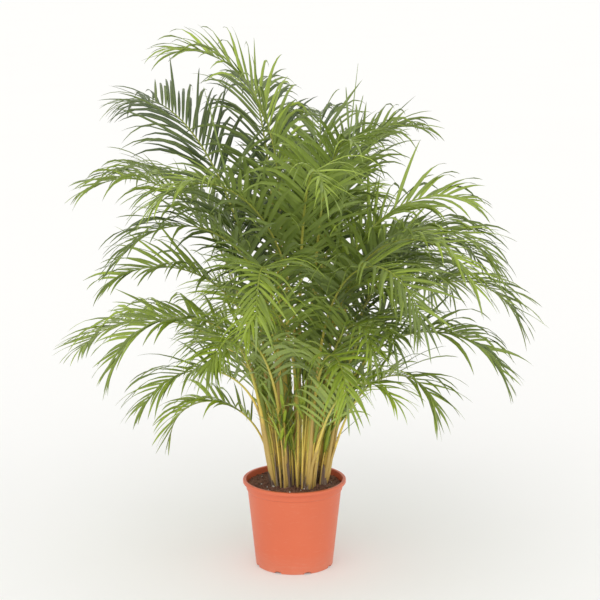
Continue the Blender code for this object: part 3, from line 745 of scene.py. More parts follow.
class Stalk:
    """The curved middle line of a leaf, with its directions at any share of its length.

    The stalk tilts from its cane's axis towards its compass direction, by its lean at the
    foot and by its lean and arch together at the tip: tilt = lean + arch * share^late.
    """

    STEPS = 96

    def __init__(self, leaf):
        self.leaf, self.cane = leaf, Cane(leaf.cane)
        cane = self.cane
        middle = (np.arange(self.STEPS) + 0.5) / self.STEPS
        self.shares = np.arange(self.STEPS + 1) / self.STEPS
        foot = cane.foot + cane.axis * cane.height * leaf.up
        if leaf.up < 1:
            foot = foot + self.outward(0.0) * (cane.radius(leaf.up) + STALK_THICKNESS / 2 + GAP)
        steps = self.heading(middle) * leaf.length / self.STEPS
        self.points = np.vstack([foot, foot + np.cumsum(steps, axis=0)])
        self.forward = self.heading(self.shares)
        side = np.cross(self.outward(self.shares), cane.axis)
        upper = np.cross(side, self.forward)
        roll = np.radians(leaf.roll * self.shares)[:, None]
        self.side = side * np.cos(roll) + upper * np.sin(roll)
        self.upper = np.cross(self.side, self.forward)

    def outward(self, share):
        """Direction square to the cane that the leaf grows out in."""
        level = compass(self.leaf.turn + self.leaf.sway * share**self.leaf.late)
        return unit(level - dot(level, self.cane.axis) * self.cane.axis)

    def heading(self, share):
        """Direction that the stalk runs in."""
        tilt = np.radians(self.leaf.lean + self.leaf.arch * share**self.leaf.late)[:, None]
        return np.cos(tilt) * self.cane.axis + np.sin(tilt) * self.outward(share)

    def at(self, shares):
        """Points, forward, side and upper directions at shares of the length."""
        rows = (self.points, self.forward, self.side, self.upper)
        found = [
            np.stack([np.interp(shares, self.shares, row[:, i]) for i in range(3)], axis=-1)
            for row in rows
        ]
        return found[0], *(unit(vectors) for vectors in found[1:])


def add_stalk(surface, stalk, tone, random):
    """The stalk from its sheath on the cane to its tip, an oval with a channel above.

    Width and thickness fall from foot to tip with share^0.8. Below its foot the sheath widens
    round the cane and sinks into it.
    """
    leaf, cane = stalk.leaf, stalk.cane
    shares = np.linspace(0, 1, STALK_RINGS)
    point, _, side, upper = stalk.at(shares)
    wide = along(shares**0.8, STALK_WIDTH, TIP_WIDTH) / 2
    thick = along(shares**0.8, STALK_THICKNESS, TIP_THICKNESS) / 2
    reach = min(random.uniform(0.14, 0.36), cane.height * leaf.up * 0.93)
    down = np.linspace(1, 0, SHEATH_RINGS, endpoint=False)[:, None]
    radius = cane.radius(leaf.up)
    sunk = down**3 * (thick[0] + radius * 0.5) if leaf.up < 1 else down * 0
    foot = point[0] - cane.axis * reach * down - stalk.outward(0.0) * sunk
    point = np.vstack([foot, point])
    repeat = [SHEATH_RINGS + 1] + [1] * (STALK_RINGS - 1)
    side, upper = np.repeat(side, repeat, axis=0), np.repeat(upper, repeat, axis=0)
    widen = smooth(down[:, 0], 0.0, 1.0)
    wide = np.concatenate([along(widen, wide[0], radius * 0.75), wide])
    thick = np.concatenate([along(widen, thick[0], radius * 0.7), thick])
    angle = turns(STALK_SIDES)
    channel = 1 - 0.35 * np.maximum(np.sin(angle), 0) ** 6
    x = np.cos(angle) * wide[:, None]
    y = np.sin(angle) * channel * thick[:, None]
    grid = point[:, None] + x[..., None] * side[:, None] + y[..., None] * upper[:, None]
    start, end = point[:1], point[-1:] + stalk.forward[-1] * TIP_WIDTH
    all_shares = np.concatenate([-0.06 * down[:, 0], shares])
    surface.tubes(
        grid[None, :, ::-1], start, end, finish=1, along=all_shares[:, None],
        across=np.cos(angle)[::-1], tone=tone, face=0.0, border=0.0,
    )


def leaflet_length(share, longest):
    """Leaflets are longest two fifths of the way up the rachis and short at its tip."""
    along_rachis = (share - BARE_STALK_SHARE) / (1 - BARE_STALK_SHARE)
    return longest * (0.35 + 0.65 * np.sin(math.pi * (0.2 + 0.75 * along_rachis)))


def add_leaflets(surface, stalk, sizes, tone, random):
    """Two rows of leaflets and the one that ends the rachis.

    Each runs along heading(u) = unit(start + sag * u^2 * down) from the rachis. Its section is
    a low roof, widest a third of the way out, that narrows to a point.
    """
    leaf = stalk.leaf
    pairs = max(8, round(leaf.length * (1 - BARE_STALK_SHARE) / sizes.leaflet_spacing))
    count = pairs * 2 + 1
    rank = (np.arange(pairs * 2) // 2 + 0.5 + np.tile([-0.12, 0.12], pairs)) / pairs
    share = np.append(BARE_STALK_SHARE + rank * (1 - BARE_STALK_SHARE), 1.0)
    row = np.append(np.tile([1.0, -1.0], pairs), 1.0)[:, None]
    jitter = random.normal(size=(7, count))
    point, forward, side, upper = stalk.at(share)
    rachis = (share - BARE_STALK_SHARE) / (1 - BARE_STALK_SHARE)
    fan = np.radians(along(share, sizes.fan_at_base, sizes.fan_at_tip) + 5.0 * jitter[0])
    vee = np.radians(sizes.vee + 9.0 * jitter[1])
    fan[-1], vee[-1] = 0.0, 0.0
    fan, vee = fan[:, None], vee[:, None]
    start = np.cos(fan) * forward + np.sin(fan) * (row * np.cos(vee) * side + np.sin(vee) * upper)
    longest = sizes.leaflet_longest * (1 - math.exp(-leaf.length / sizes.leaflet_growth))
    length = leaflet_length(share, longest) * (1 + 0.07 * jitter[2])
    sag = sizes.leaflet_sag * np.clip(1 + 0.40 * jitter[3], 0.1, 2.2)
    steps = (np.arange(LEAFLET_STEPS) + 0.5) / LEAFLET_STEPS
    drop = sag[:, None, None] * (steps**2)[:, None] * -UP
    heading = unit(start[:, None] + drop)
    path = np.cumsum(heading * (length / LEAFLET_STEPS)[:, None, None], axis=1)
    path = np.concatenate([np.zeros_like(path[:, :1]), path], axis=1) + point[:, None]
    rings = LEAFLET_RINGS
    heading = heading[:, np.minimum(rings, LEAFLET_STEPS - 1)]
    lead = forward[:, None] - heading * dot(forward[:, None], heading)
    lead[-1] = side[-1] - heading[-1] * dot(side[-1], heading[-1])
    across = unit(lead) * row[:, None]
    through = np.cross(heading, across)
    u = rings / LEAFLET_STEPS
    twist = np.radians(11 * jitter[4][:, None] + 22 * jitter[5][:, None] * u)[..., None]
    across, through = (
        across * np.cos(twist) + through * np.sin(twist),
        through * np.cos(twist) - across * np.sin(twist),
    )
    slim = np.minimum(1.0, 0.55 + 2.2 * rachis) * along(rachis**2, 1.0, 0.55)
    half = sizes.leaflet_width / 2 * slim * (1 + 0.06 * jitter[6])
    half = half[:, None] * np.array(LEAFLET_OUTLINE)
    skin = sizes.leaflet_thickness / 2 * along(u, 1.0, 0.5)
    x = half[..., None] * SECTION_ACROSS
    y = half[..., None] * SECTION_RISE + skin[:, None] * SECTION_SKIN
    grid = path[:, rings, None] + x[..., None] * across[:, :, None] + y[..., None] * through[:, :, None]
    root = path[:, 0] - heading[:, 0] * 0.0008
    each = np.clip(tone + 0.12 * jitter[0], 0, 1)[:, None, None]
    surface.tubes(
        grid, root, path[:, -1], along=u[:, None], across=SECTION_ACROSS, tone=each,
        face=SECTION_FACE, border=np.abs(SECTION_ACROSS),
    )


def leaf_tone_and_painted_shade(leaf, random):
    """How fresh a leaf's green is: bright in front, deep at the back (partly age, partly painted
    shade), a little by chance.
    """
    # painted shade: leaves turned away from the front get a deeper green
    towards_front = -math.sin(math.radians(leaf.turn))
    return float(np.clip(0.50 + 0.20 * towards_front + 0.20 * random.normal(), 0.05, 0.95))


# ---- settings -----------------------------------------------------------------------------
class PotSettings(bpy.types.PropertyGroup):
    """Sizes and colour of the pot."""

    height: FloatProperty(
        name="Height", description="From the foot to the top of the lip",
        default=POT_HIGH.z, min=0.05, unit="LENGTH",
    )
    rim_radius: FloatProperty(
        name="Rim radius", description="Radius over the rolled lip",
        default=POT_HIGH.x, min=0.03, unit="LENGTH",
    )
    sides: IntProperty(
        name="Sides", description="Facets round the wall", default=128, min=24,
    )
    colour: FloatVectorProperty(
        name="Colour", description="Colour of the plastic",
        default=(0.76, 0.165, 0.075), subtype="COLOR", min=0, max=1,
    )


class SoilSettings(bpy.types.PropertyGroup):
    """Soil, its fibres and its perlite."""

    relief: FloatProperty(
        name="Relief", description="Height of the lumps in the surface",
        default=0.0022, min=0, unit="LENGTH",
    )
    crumbs: IntProperty(name="Crumbs", description="Loose crumbs on the surface", default=420, min=1)
    fibres: IntProperty(name="Fibres", description="Coir fibres on the surface", default=260, min=1)
    perlite: IntProperty(name="Perlite", description="White grains on the surface", default=22, min=1)
    dark: FloatVectorProperty(
        name="Dark", description="Colour of moist soil",
        default=(0.100, 0.043, 0.031), subtype="COLOR", min=0, max=1,
    )
    light: FloatVectorProperty(
        name="Light", description="Colour of dry soil",
        default=(0.42, 0.23, 0.16), subtype="COLOR", min=0, max=1,
    )


class CaneSettings(bpy.types.PropertyGroup):
    """Canes and the dry sheaths at their feet."""

    ring_spacing: FloatProperty(
        name="Ring spacing", description="Mean distance between the scars of old leaves",
        default=0.042, min=0.01, unit="LENGTH",
    )
    flare: FloatProperty(
        name="Flare", description="How much wider a cane is at the soil, as a share",
        default=0.12, min=0, subtype="FACTOR",
    )
    bark: FloatVectorProperty(
        name="Bark", description="Colour at the soil",
        default=(0.20, 0.135, 0.12), subtype="COLOR", min=0, max=1,
    )
    gold: FloatVectorProperty(
        name="Gold", description="Colour of the ripe sheath",
        default=(0.90, 0.68, 0.14), subtype="COLOR", min=0, max=1,
    )


class ShootSettings(bpy.types.PropertyGroup):
    """Thin young stems between the canes."""

    count: IntProperty(name="Count", description="Young stems", default=64, min=1)
    leaflets: IntProperty(
        name="Leaflets", description="Most leaflets on one stem, besides the one at its tip",
        default=7, min=3,
    )
    leaflet_width: FloatProperty(
        name="Leaflet width", description="Width of a leaflet where it is widest",
        default=0.0085, min=0.001, unit="LENGTH",
    )
    shortest: FloatProperty(
        name="Shortest", description="Height of the shortest stem",
        default=0.12, min=0.01, unit="LENGTH",
    )
    tallest: FloatProperty(
        name="Tallest", description="Height of the tallest stem",
        default=0.36, min=0.02, unit="LENGTH",
    )


class LeafSettings(bpy.types.PropertyGroup):
    """Leaflets of the grown leaves."""

    leaflet_spacing: FloatProperty(
        name="Spacing", description="Distance between leaflet pairs along the rachis",
        default=0.0148, min=0.004, unit="LENGTH",
    )
    leaflet_width: FloatProperty(
        name="Width", description="Width of a leaflet where it is widest",
        default=0.0108, min=0.002, unit="LENGTH",
    )
    leaflet_thickness: FloatProperty(
        name="Thickness", description="Thickness of a leaflet at its midrib",
        default=0.0007, min=0.0002, unit="LENGTH",
    )
    leaflet_longest: FloatProperty(
        name="Longest", description="Longest leaflet that a very long leaf would have",
        default=0.235, min=0.01, unit="LENGTH",
    )
    leaflet_growth: FloatProperty(
        name="Growth", description="Leaf length over which leaflets grow to two thirds of that",
        default=0.40, min=0.05, unit="LENGTH",
    )
    fan_at_base: FloatProperty(
        name="Fan at base", description="Angle in degrees between rachis and lowest leaflets",
        default=68.0, min=0, max=90,
    )
    fan_at_tip: FloatProperty(
        name="Fan at tip", description="Angle in degrees between rachis and last leaflets",
        default=26.0, min=0, max=90,
    )
    vee: FloatProperty(
        name="Vee", description="Rise in degrees of the two leaflet rows above the rachis",
        default=24.0, min=-60, max=60,
    )
    leaflet_sag: FloatProperty(
        name="Sag", description="How strongly the leaflets bend down towards their tips",
        default=1.15, min=0,
    )
    # besides age, the step from fresh green in front to deep green at the back is painted shade
    deep: FloatVectorProperty(
        name="Deep green", description="Colour of old leaves at the back",
        default=(0.034, 0.062, 0.014), subtype="COLOR", min=0, max=1,
    )
    fresh: FloatVectorProperty(
        name="Fresh green", description="Colour of young leaves in front",
        default=(0.42, 0.56, 0.035), subtype="COLOR", min=0, max=1,
    )


class StageSettings(bpy.types.PropertyGroup):
    """Floor, light and camera."""

    floor_radius: FloatProperty(
        name="Floor radius", description="Radius of the round floor",
        default=90.0, min=1, unit="LENGTH",
    )
    floor_colour: FloatVectorProperty(
        name="Floor", description="Colour of the floor",
        default=(0.775, 0.772, 0.760), subtype="COLOR", min=0, max=1,
    )
    distance: FloatProperty(
        name="Distance", description="From the camera to the pot's axis, level",
        default=4.0, min=0.5, unit="LENGTH",
    )
    eye_height: FloatProperty(
        name="Eye height", description="Height of the camera", default=1.45, min=0, unit="LENGTH",
    )
    pitch: FloatProperty(
        name="Pitch", description="How far the camera looks down",
        default=math.radians(11.6), subtype="ANGLE",
    )
    lens: FloatProperty(
        name="Lens", description="Focal length in millimetres", default=107.3, min=10,
    )
    sky: FloatProperty(
        name="Sky", description="Strength of the even light", default=0.85, min=0,
    )


def settings():
    """The sizes and colours in use."""
    return bpy.context.scene.palm


class PalmSettings(bpy.types.PropertyGroup):
    """All sizes and colours of the potted palm."""

    pot: PointerProperty(type=PotSettings)
    soil: PointerProperty(type=SoilSettings)
    canes: PointerProperty(type=CaneSettings)
    shoots: PointerProperty(type=ShootSettings)
    leaves: PointerProperty(type=LeafSettings)
    stage: PointerProperty(type=StageSettings)


# ---- operators ----------------------------------------------------------------------------
class PALM_OT_pot(bpy.types.Operator):
    """Turn the pot's wall and cut its drain holes and foot notches"""

    bl_idname = "palm.pot"
    bl_label = "Pot"

    def execute(self, context):
        sizes = settings().pot
        outline = pot_outline(sizes.height, sizes.rim_radius)
        mesh = revolved("pot_shell", outline[::-1], sizes.sides)
        pot = piece("pot_shell", mesh, [], "terracotta_plastic", "pot")
        drain_ring = BASE_RADIUS - DRAIN_HOLE_INSET
        cutters = []
        for number, turn in enumerate(DRAIN_PHASE + np.degrees(turns(DRAIN_COUNT))):
            out = compass(turn)
            cutters += [
                drill(f"drain_{number}", DRAIN_HOLE_RADIUS, POT_FLOOR * 4, out * drain_ring),
                arch_cutter(f"notch_{number}", NOTCH_WIDTH, NOTCH_HEIGHT, POT_WALL * 8,
                            out * BASE_RADIUS, turn),
            ]
        cut_out(pot, cutters)
        pot.data.shade_smooth()
        pot.data.set_sharp_from_angle(angle=math.radians(CREASE_ANGLE))
        pot.data.materials.clear()
        pot.data.materials.append(plastic_finish(sizes.colour))
        return {"FINISHED"}


def soil_height(x, y, relief):
    """Height of the soil: a low crown and four sizes of lumps."""
    radius = np.hypot(x, y)
    points = np.stack([x, y, np.zeros_like(x)], axis=-1)
    lumps = sum(share * ripples(points, wave, seed) for wave, seed, share in LUMPS)
    wave, seed, share = ROUND_LUMPS
    lumps = lumps + share * np.abs(ripples(points, wave, seed))
    crown = SOIL_CROWN * (1 - smooth(radius, 0.02, 0.10))
    return SOIL_TOP + SOIL_RISE + crown + relief * lumps


def scattered(count, radius, random):
    """Places spread evenly over a disc."""
    out, turn = radius * np.sqrt(random.uniform(size=count)), random.uniform(0, math.tau, count)
    return out * np.cos(turn), out * np.sin(turn)


def on_soil(x, y, lift, relief):
    """Points that stand a little off the soil."""
    return np.stack([x, y, soil_height(x, y, relief) + lift], axis=-1)


def add_stones(name, finish, x, y, relief, smallest, largest, raised, random):
    """Small rough stones on the soil: squashed balls whose points stand at uneven distances."""
    count = len(x)
    radii = random.uniform(smallest, largest, count)
    centres = on_soil(x, y, radii * raised, relief)
    tone = random.uniform(0, 1, count)
    slope = (np.arange(STONE_RINGS)[:, None] + 1) * math.pi / (STONE_RINGS + 1)
    shape = polar(np.sin(slope), turns(STONE_SIDES), -np.cos(slope))
    axes = random.uniform(0.7, 1.3, (count, 1, 1, 3))
    grid = shape * axes * radii[:, None, None, None]
    uneven = random.uniform(0.78, 1.18, (count, STONE_RINGS, STONE_SIDES, 1))
    grid = grid * uneven + centres[:, None, None]
    pole = radii[:, None] * axes[:, 0, 0] * UP * 0.9
    surface = Surface()
    surface.tubes(grid, centres - pole, centres + pole, tone=tone[:, None, None])
    piece(name, surface.mesh(name), [finish], "potting_soil")


def add_fibres(finish, x, y, relief, edge, random):
    """Bent fibres that lie on the soil, kept inside its edge."""
    count = len(x)
    length = random.uniform(0.008, 0.024, count)[:, None]
    turn = random.uniform(0, math.tau, count)[:, None]
    bend = random.normal(0, 1.2, count)[:, None]
    share = np.linspace(-0.5, 0.5, FIBRE_RINGS)
    heading = turn + bend * share
    x = x[:, None] + np.cos(heading) * length * share
    y = y[:, None] + np.sin(heading) * length * share
    inside = edge * 0.985
    keep = inside / np.maximum(np.hypot(x, y), inside)
    lift = random.uniform(0.0004, 0.0020, count)[:, None] * (1 + 2 * share**2)
    centres = on_soil(x * keep, y * keep, lift, relief)
    forward = unit(np.gradient(centres, axis=1))
    side = unit(np.cross(forward, UP))
    radii = random.uniform(0.00018, 0.00050, (count, 1)) * along(4 * share**2, 1.0, 0.5)
    grid = round_grid(centres, side, np.cross(side, forward), radii, FIBRE_SIDES)
    surface = Surface()
    tone = random.uniform(0, 1, count)[:, None, None]
    surface.tubes(grid[:, :, ::-1], centres[:, 0], centres[:, -1], tone=tone)
    piece("soil_fibres", surface.mesh("soil_fibres"), [finish], "potting_soil")


class PALM_OT_soil(bpy.types.Operator):
    """Fill the pot with soil, crumbs, coir fibres and perlite"""

    bl_idname = "palm.soil"
    bl_label = "Soil"

    def execute(self, context):
        sizes, pot = settings().soil, settings().pot
        wall = body_radius(pot.height - COLLAR_HEIGHT, pot.rim_radius, pot.height) - POT_WALL
        edge = wall + SOIL_OVERLAP
        reach = np.concatenate([np.linspace(0.002, 0.985, SOIL_RINGS), [1.0]])[:, None] * edge
        turn = turns(SOIL_SECTORS)
        top = on_soil(reach * np.cos(turn), reach * np.sin(turn), 0.0, sizes.relief)
        low = POT_FLOOR + GAP
        floor_reach = body_radius(low, pot.rim_radius, pot.height) - POT_WALL - 2 * GAP
        side = polar(wall - SOIL_EDGE_GAP, turn, SOIL_TOP - SOIL_EDGE_DEPTH)
        surface = Surface()
        grid = np.concatenate([[polar(floor_reach, turn, low), side], top[::-1]])
        surface.tubes(grid[None], low * UP[None], top[0, :, 2].mean() * UP[None])
        finish = soil_finish(sizes.dark, sizes.light)
        piece("soil_surface", surface.mesh("soil_surface"), [finish], "potting_soil", "soil")

        random = np.random.default_rng(SOIL_SEED)
        x, y = scattered(sizes.crumbs, edge * 0.97, random)
        add_stones("soil_crumbs", finish, x, y, sizes.relief, 0.0010, 0.0032, 0.35, random)
        x, y = scattered(sizes.fibres, edge * 0.90, random)
        add_fibres(fibre_finish(), x, y, sizes.relief, edge, random)
        x, y = scattered(sizes.perlite, edge * 0.90, random)
        y = -np.abs(y) * np.where(np.arange(sizes.perlite) % 3 > 0, 1.0, -1.0)
        stone = perlite_finish()
        add_stones("perlite", stone, x, y, sizes.relief, 0.0010, 0.0026, 0.5, random)
        return {"FINISHED"}


def add_husk(surface, cane, turn, top, half_angle, tone):
    """A dry sheath round the foot of a cane: an arc of thin wall that narrows to a point.

    At a share v of its height the arc spans +-half_angle * (1 - v^2), and it stands off the
    cane a little more the higher it is.
    """
    v = np.linspace(0, 0.985, HUSK_RINGS)
    swing = np.radians(half_angle) * (1 - v**2.2)
    spread = np.linspace(-1, 1, HUSK_STEPS)
    angle = np.radians(turn) + swing[:, None] * spread
    height = along(v, -0.008, top)
    off = cane.radius(height / cane.height) * 1.13 + along(v**2, 0.0002, 0.0030)
    outward = np.cos(angle)[..., None] * cane.side + np.sin(angle)[..., None] * cane.beside
    middle = cane.foot + height[:, None, None] * cane.axis
    outer = middle + outward * (off + HUSK_WALL)[:, None, None]
    inner = middle + outward * off[:, None, None]
    grid = np.concatenate([outer, inner[:, ::-1]], axis=1)
    tip = (outer[-1] + inner[-1]).mean(axis=0, keepdims=True) / 2 + cane.axis * 0.001
    surface.tubes(
        grid[None], grid[0].mean(axis=0, keepdims=True), tip, finish=1, tone=tone, up=0.0, ring=0.0,
    )


class PALM_OT_canes(bpy.types.Operator):
    """Grow the canes with their leaf scars and dry sheaths"""

    bl_idname = "palm.canes"
    bl_label = "Canes"

    def execute(self, context):
        sizes = settings().canes
        finishes = [cane_finish(sizes.bark, sizes.gold), husk_finish()]
        for index in range(CANE_COUNT):
            random = np.random.default_rng(CANE_SEED + index)
            cane = Cane(index)
            height = np.linspace(-CANE_BURIED, cane.height, CANE_RINGS)
            up = height / cane.height
            warp = height / sizes.ring_spacing + random.uniform() + 0.25 * np.sin(height * 60)
            ring = np.mod(warp, 1.0)
            flare = 1 + sizes.flare * np.exp(-np.maximum(height, 0) / FLARE_HEIGHT)
            collar = 1 + 0.05 * smooth(ring, 0.80, 0.97) - 0.03 * smooth(ring, 0.97, 1.0)
            spire = 1 - 0.55 * smooth(up, 0.80, 1.0)
            radii = cane.radius(up) * flare * collar * spire * np.where(height < -0.01, 0.8, 0.9)
            centres = cane.foot + height[:, None] * cane.axis
            grid = round_grid(centres, cane.side, cane.beside, radii, CANE_SIDES)
            surface = Surface()
            tone = random.normal()
            surface.tubes(
                grid[None], centres[:1], centres[-1:] + cane.axis * 0.002,
                up=np.maximum(up, 0)[:, None], ring=ring[:, None], tone=tone,
            )
            first = random.uniform(0, 360)
            for number in range(HUSKS):
                add_husk(
                    surface, cane, first + 360 / HUSKS * number + random.uniform(-25, 25),
                    random.uniform(0.025, 0.095), random.uniform(35, 75),
                    random.uniform(0.1, 0.9),
                )
            name = f"cane_{index + 1:02d}"
            piece(f"palm_{name}", surface.mesh(f"palm_{name}"), finishes, "cane_sheath", name)
        return {"FINISHED"}


class PALM_OT_leaves(bpy.types.Operator):
    """Grow the leaves, each a stalk with two rows of leaflets"""

    bl_idname = "palm.leaves"
    bl_label = "Leaves"

    def execute(self, context):
        sizes, canes = settings().leaves, settings().canes
        finishes = [
            blade_finish("leaf_blade", sizes.deep, sizes.fresh),
            stalk_finish(canes.gold, blend(0.45, sizes.deep, sizes.fresh)),
        ]
        for index, leaf in enumerate(LEAVES):
            random = np.random.default_rng(LEAF_SEED + index)
            stalk, tone = Stalk(leaf), leaf_tone_and_painted_shade(leaf, random)
            surface = Surface()
            add_leaflets(surface, stalk, sizes, tone, random)
            add_stalk(surface, stalk, tone, random)
            name = f"leaf_{index + 1:02d}"
            mesh = surface.mesh(f"palm_{name}", sharp="border")
            piece(f"palm_{name}", mesh, finishes, "leaf_blade", name)
        return {"FINISHED"}


def add_strips(surface, roots, heading, across, length, width, sag, tone):
    """Narrow pointed leaflets along root + length * (v * heading - sag * v^2 * up)."""
    share = np.linspace(0, 1, STRIP_RINGS)[:, None]
    drop = sag[:, None, None] * share**2 * UP
    line = roots[:, None] + length[:, None, None] * (share * heading[:, None] - drop)
    ahead = unit(np.gradient(line, axis=1))
    side = unit(across[:, None] - dot(across[:, None], ahead) * ahead)
    radii = width / 2 * (0.25 + 0.75 * np.sin(math.pi * (0.12 + 0.84 * share[:, 0])))
    grid = round_grid(line, side, np.cross(side, ahead) * STRIP_FLATNESS, radii, STRIP_SIDES)
    turn = turns(STRIP_SIDES)[::-1]
    surface.tubes(
        grid[:, :, ::-1], line[:, 0], line[:, -1] + ahead[:, -1] * 0.004,
        along=share * 0.93, across=np.cos(turn), face=np.sin(turn), tone=tone[:, None, None],
    )


def add_slivers(surface, centres, forward, side, random):
    """Leaflets that start to come free of an unopened leaf, close along it."""
    index = (SLIVER_STARTS * (len(centres) - 1)).astype(int)
    lean = random.uniform(0.10, 0.20, len(index)) * np.where(np.arange(len(index)) % 2, 1, -1)
    heading = unit(forward[index] + lean[:, None] * side[index])
    length = random.uniform(0.11, 0.15, len(index))
    across = np.cross(heading, side[index]) + side[index]
    nothing = np.zeros(len(index))
    add_strips(
        surface, centres[index], heading, across, length, SLIVER_WIDTH, nothing, nothing + 0.6
    )


class PALM_OT_shoots(bpy.types.Operator):
    """Grow thin young stems with a few narrow leaflets between the canes"""

    bl_idname = "palm.shoots"
    bl_label = "Young stems"

    def execute(self, context):
        sizes, canes, leaves = settings().shoots, settings().canes, settings().leaves
        random = np.random.default_rng(SHOOT_SEED)
        surface = Surface()
        x, y = scattered(sizes.count, CLUMP_RADIUS * 1.04, random)
        for number in range(sizes.count):
            away = math.hypot(x[number], y[number]) / CLUMP_RADIUS
            out = compass(math.degrees(math.atan2(y[number], x[number])) + random.normal(0, 12))
            height = random.uniform(sizes.shortest, sizes.tallest)
            lean = 0.03 + 0.13 * away + random.normal(0, 0.03)
            foot = np.array([x[number] + CLUMP_OFFSET, y[number], SOIL_TOP - 0.004])
            share = np.linspace(0, 1, SHOOT_RINGS)
            v = share[:, None]
            line = foot + height * (v * UP + (lean * v + 0.10 * v**3) * out)
            forward, side, upper = frames_along(line, out)
            radii = along(share, random.uniform(0.0020, 0.0034), 0.0009)
            around = turns(SHOOT_SIDES)
            tone = random.uniform(0.6, 1.0)
            grid = round_grid(line, side, upper, radii, SHOOT_SIDES)
            surface.tubes(
                grid[None, :, ::-1], line[:1], line[-1:] + UP * 0.003,
                finish=1, along=v * random.uniform(0.2, 0.5), across=np.cos(around), face=0.0,
                tone=tone,
            )
            count = int(random.integers(3, sizes.leaflets + 1))
            top = SHOOT_RINGS - 1
            index = np.append(random.integers(SHOOT_LEAFLETS_FROM, top, count), top)
            turn = random.uniform(0, math.tau, count + 1)[:, None]
            beside = np.cos(turn) * side[index] + np.sin(turn) * upper[index]
            heading = unit(forward[index] + random.uniform(0.12, 0.50, (count + 1, 1)) * beside)
            add_strips(
                surface, line[index], heading, np.cross(heading, beside),
                random.uniform(0.06, 0.13, count + 1), sizes.leaflet_width,
                random.uniform(0.05, 0.35, count + 1), np.full(count + 1, tone),
            )
        finishes = [
            blade_finish("shoot_leaf", leaves.deep, leaves.fresh),
            stalk_finish(canes.gold, blend(0.85, leaves.deep, leaves.fresh)),
        ]
        piece("young_stems", surface.mesh("young_stems"), finishes, "young_leaf")
        return {"FINISHED"}


class PALM_OT_spears(bpy.types.Operator):
    """Grow the unopened leaves, pleated rods on the tops of their canes"""

    bl_idname = "palm.spears"
    bl_label = "Unopened leaves"

    def execute(self, context):
        finishes = [blade_finish("young_leaf", (0.14, 0.22, 0.04), (0.34, 0.44, 0.10))]
        for index, (cane_number, turn, lean, length) in enumerate(SPEARS):
            cane = Cane(cane_number)
            tilt = math.radians(lean)
            level = compass(turn)
            outward = unit(level - dot(level, cane.axis) * cane.axis)
            axis = math.cos(tilt) * cane.axis + math.sin(tilt) * outward
            foot = cane.foot + cane.axis * (cane.height - 0.004)
            share = np.linspace(0, 1, SPEAR_RINGS)
            bow = SPEAR_BOW * (share**2)[:, None] * outward
            centres = foot + share[:, None] * length * axis + bow
            forward, side, upper = frames_along(centres, outward)
            radii = np.interp(share, *SPEAR_TAPER)
            turn_round = turns(SPEAR_SIDES)
            pleats = 1 + 0.10 * np.cos(6 * turn_round + 5 * share[:, None])
            grid = round_grid(centres, side, upper, radii * SPEAR_WIDTH / 2, SPEAR_SIDES)
            grid = centres[:, None] + (grid - centres[:, None]) * pleats[..., None]
            surface = Surface()
            surface.tubes(
                grid[None, :, ::-1], centres[:1], centres[-1:] + axis * 0.003,
                along=share[:, None] * 0.9, across=np.sin(3 * turn_round), face=1.0, tone=0.55,
            )
            random = np.random.default_rng(SPEAR_SEED + index)
            add_slivers(surface, centres, forward, side, random)
            name = f"spear_{index + 1}"
            piece(f"palm_{name}", surface.mesh(f"palm_{name}"), finishes, "young_leaf", name)
        return {"FINISHED"}


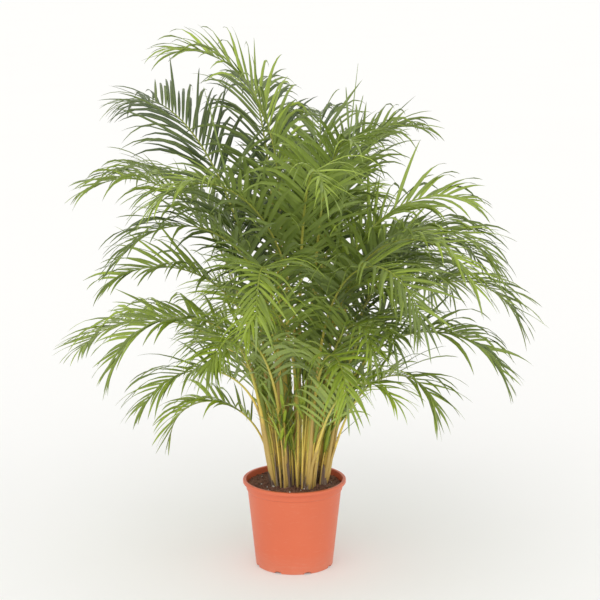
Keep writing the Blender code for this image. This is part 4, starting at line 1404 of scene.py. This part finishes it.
class PALM_OT_stage(bpy.types.Operator):
    """Lay the floor, hang the lights and set the camera"""

    bl_idname = "palm.stage"
    bl_label = "Stage"

    def execute(self, context):
        sizes, scene = settings().stage, context.scene
        rim = polar(sizes.floor_radius, turns(FLOOR_SIDES), 0.0)
        mesh = bpy.data.meshes.new("studio_floor")
        mesh.from_pydata(rim, [], [range(FLOOR_SIDES)])
        mesh.materials.append(floor_finish(sizes.floor_colour))
        floor = bpy.data.objects.new("studio_floor", mesh)
        scene.collection.objects.link(floor)

        for name, strength, spread, turn, height in SUNS:
            lamp = bpy.data.lights.new(name, "SUN")
            lamp.energy, lamp.angle = strength, math.radians(spread)
            sun = bpy.data.objects.new(name, lamp)
            sun.rotation_euler = (math.radians(90 - height), 0, math.radians(turn + 90))
            scene.collection.objects.link(sun)

        world = bpy.data.worlds.new("studio_light")
        world.use_nodes = True
        sky = world.node_tree.nodes["Background"]
        sky.inputs["Color"].default_value = (1.0, 0.995, 0.985, 1.0)
        sky.inputs["Strength"].default_value = sizes.sky
        scene.world = world

        lens = bpy.data.cameras.new("camera")
        lens.lens, lens.sensor_width = sizes.lens, 36.0
        lens.clip_end = CLIP_END
        camera = bpy.data.objects.new("camera", lens)
        camera.location = (CAMERA_ASIDE, -sizes.distance, sizes.eye_height)
        camera.rotation_euler = (math.radians(90) - sizes.pitch, 0, 0)
        scene.collection.objects.link(camera)
        scene.camera = camera
        scene.view_settings.view_transform = "Standard"
        return {"FINISHED"}


OPERATORS = (
    PALM_OT_pot, PALM_OT_soil, PALM_OT_canes, PALM_OT_shoots, PALM_OT_leaves, PALM_OT_spears,
    PALM_OT_stage,
)


class PALM_PT_panel(bpy.types.Panel):
    """Sizes, colours and buttons of the potted palm"""

    bl_idname = "PALM_PT_panel"
    bl_label = "Potted palm"
    bl_space_type = "VIEW_3D"
    bl_region_type = "UI"
    bl_category = "Palm"

    def draw(self, context):
        """List each group of settings, then the operators."""
        for group in ("pot", "soil", "canes", "shoots", "leaves", "stage"):
            box = self.layout.box()
            box.label(text=group.capitalize())
            values = getattr(context.scene.palm, group)
            for name in values.__annotations__:
                box.prop(values, name)
        for operator in OPERATORS:
            self.layout.operator(operator.bl_idname)


CLASSES = (
    PotSettings, SoilSettings, CaneSettings, ShootSettings, LeafSettings, StageSettings,
    PalmSettings, *OPERATORS, PALM_PT_panel,
)


def register():
    """Make the settings, operators and panel known to Blender."""
    for item in CLASSES:
        bpy.utils.register_class(item)
    bpy.types.Scene.palm = PointerProperty(type=PalmSettings)


def unregister():
    """Take them away again."""
    del bpy.types.Scene.palm
    for item in reversed(CLASSES):
        bpy.utils.unregister_class(item)


def main():
    """Make every piece."""
    register()
    for operator in OPERATORS:
        group, name = operator.bl_idname.split(".")
        getattr(getattr(bpy.ops, group), name)()


if __name__ == "__main__":
    main()
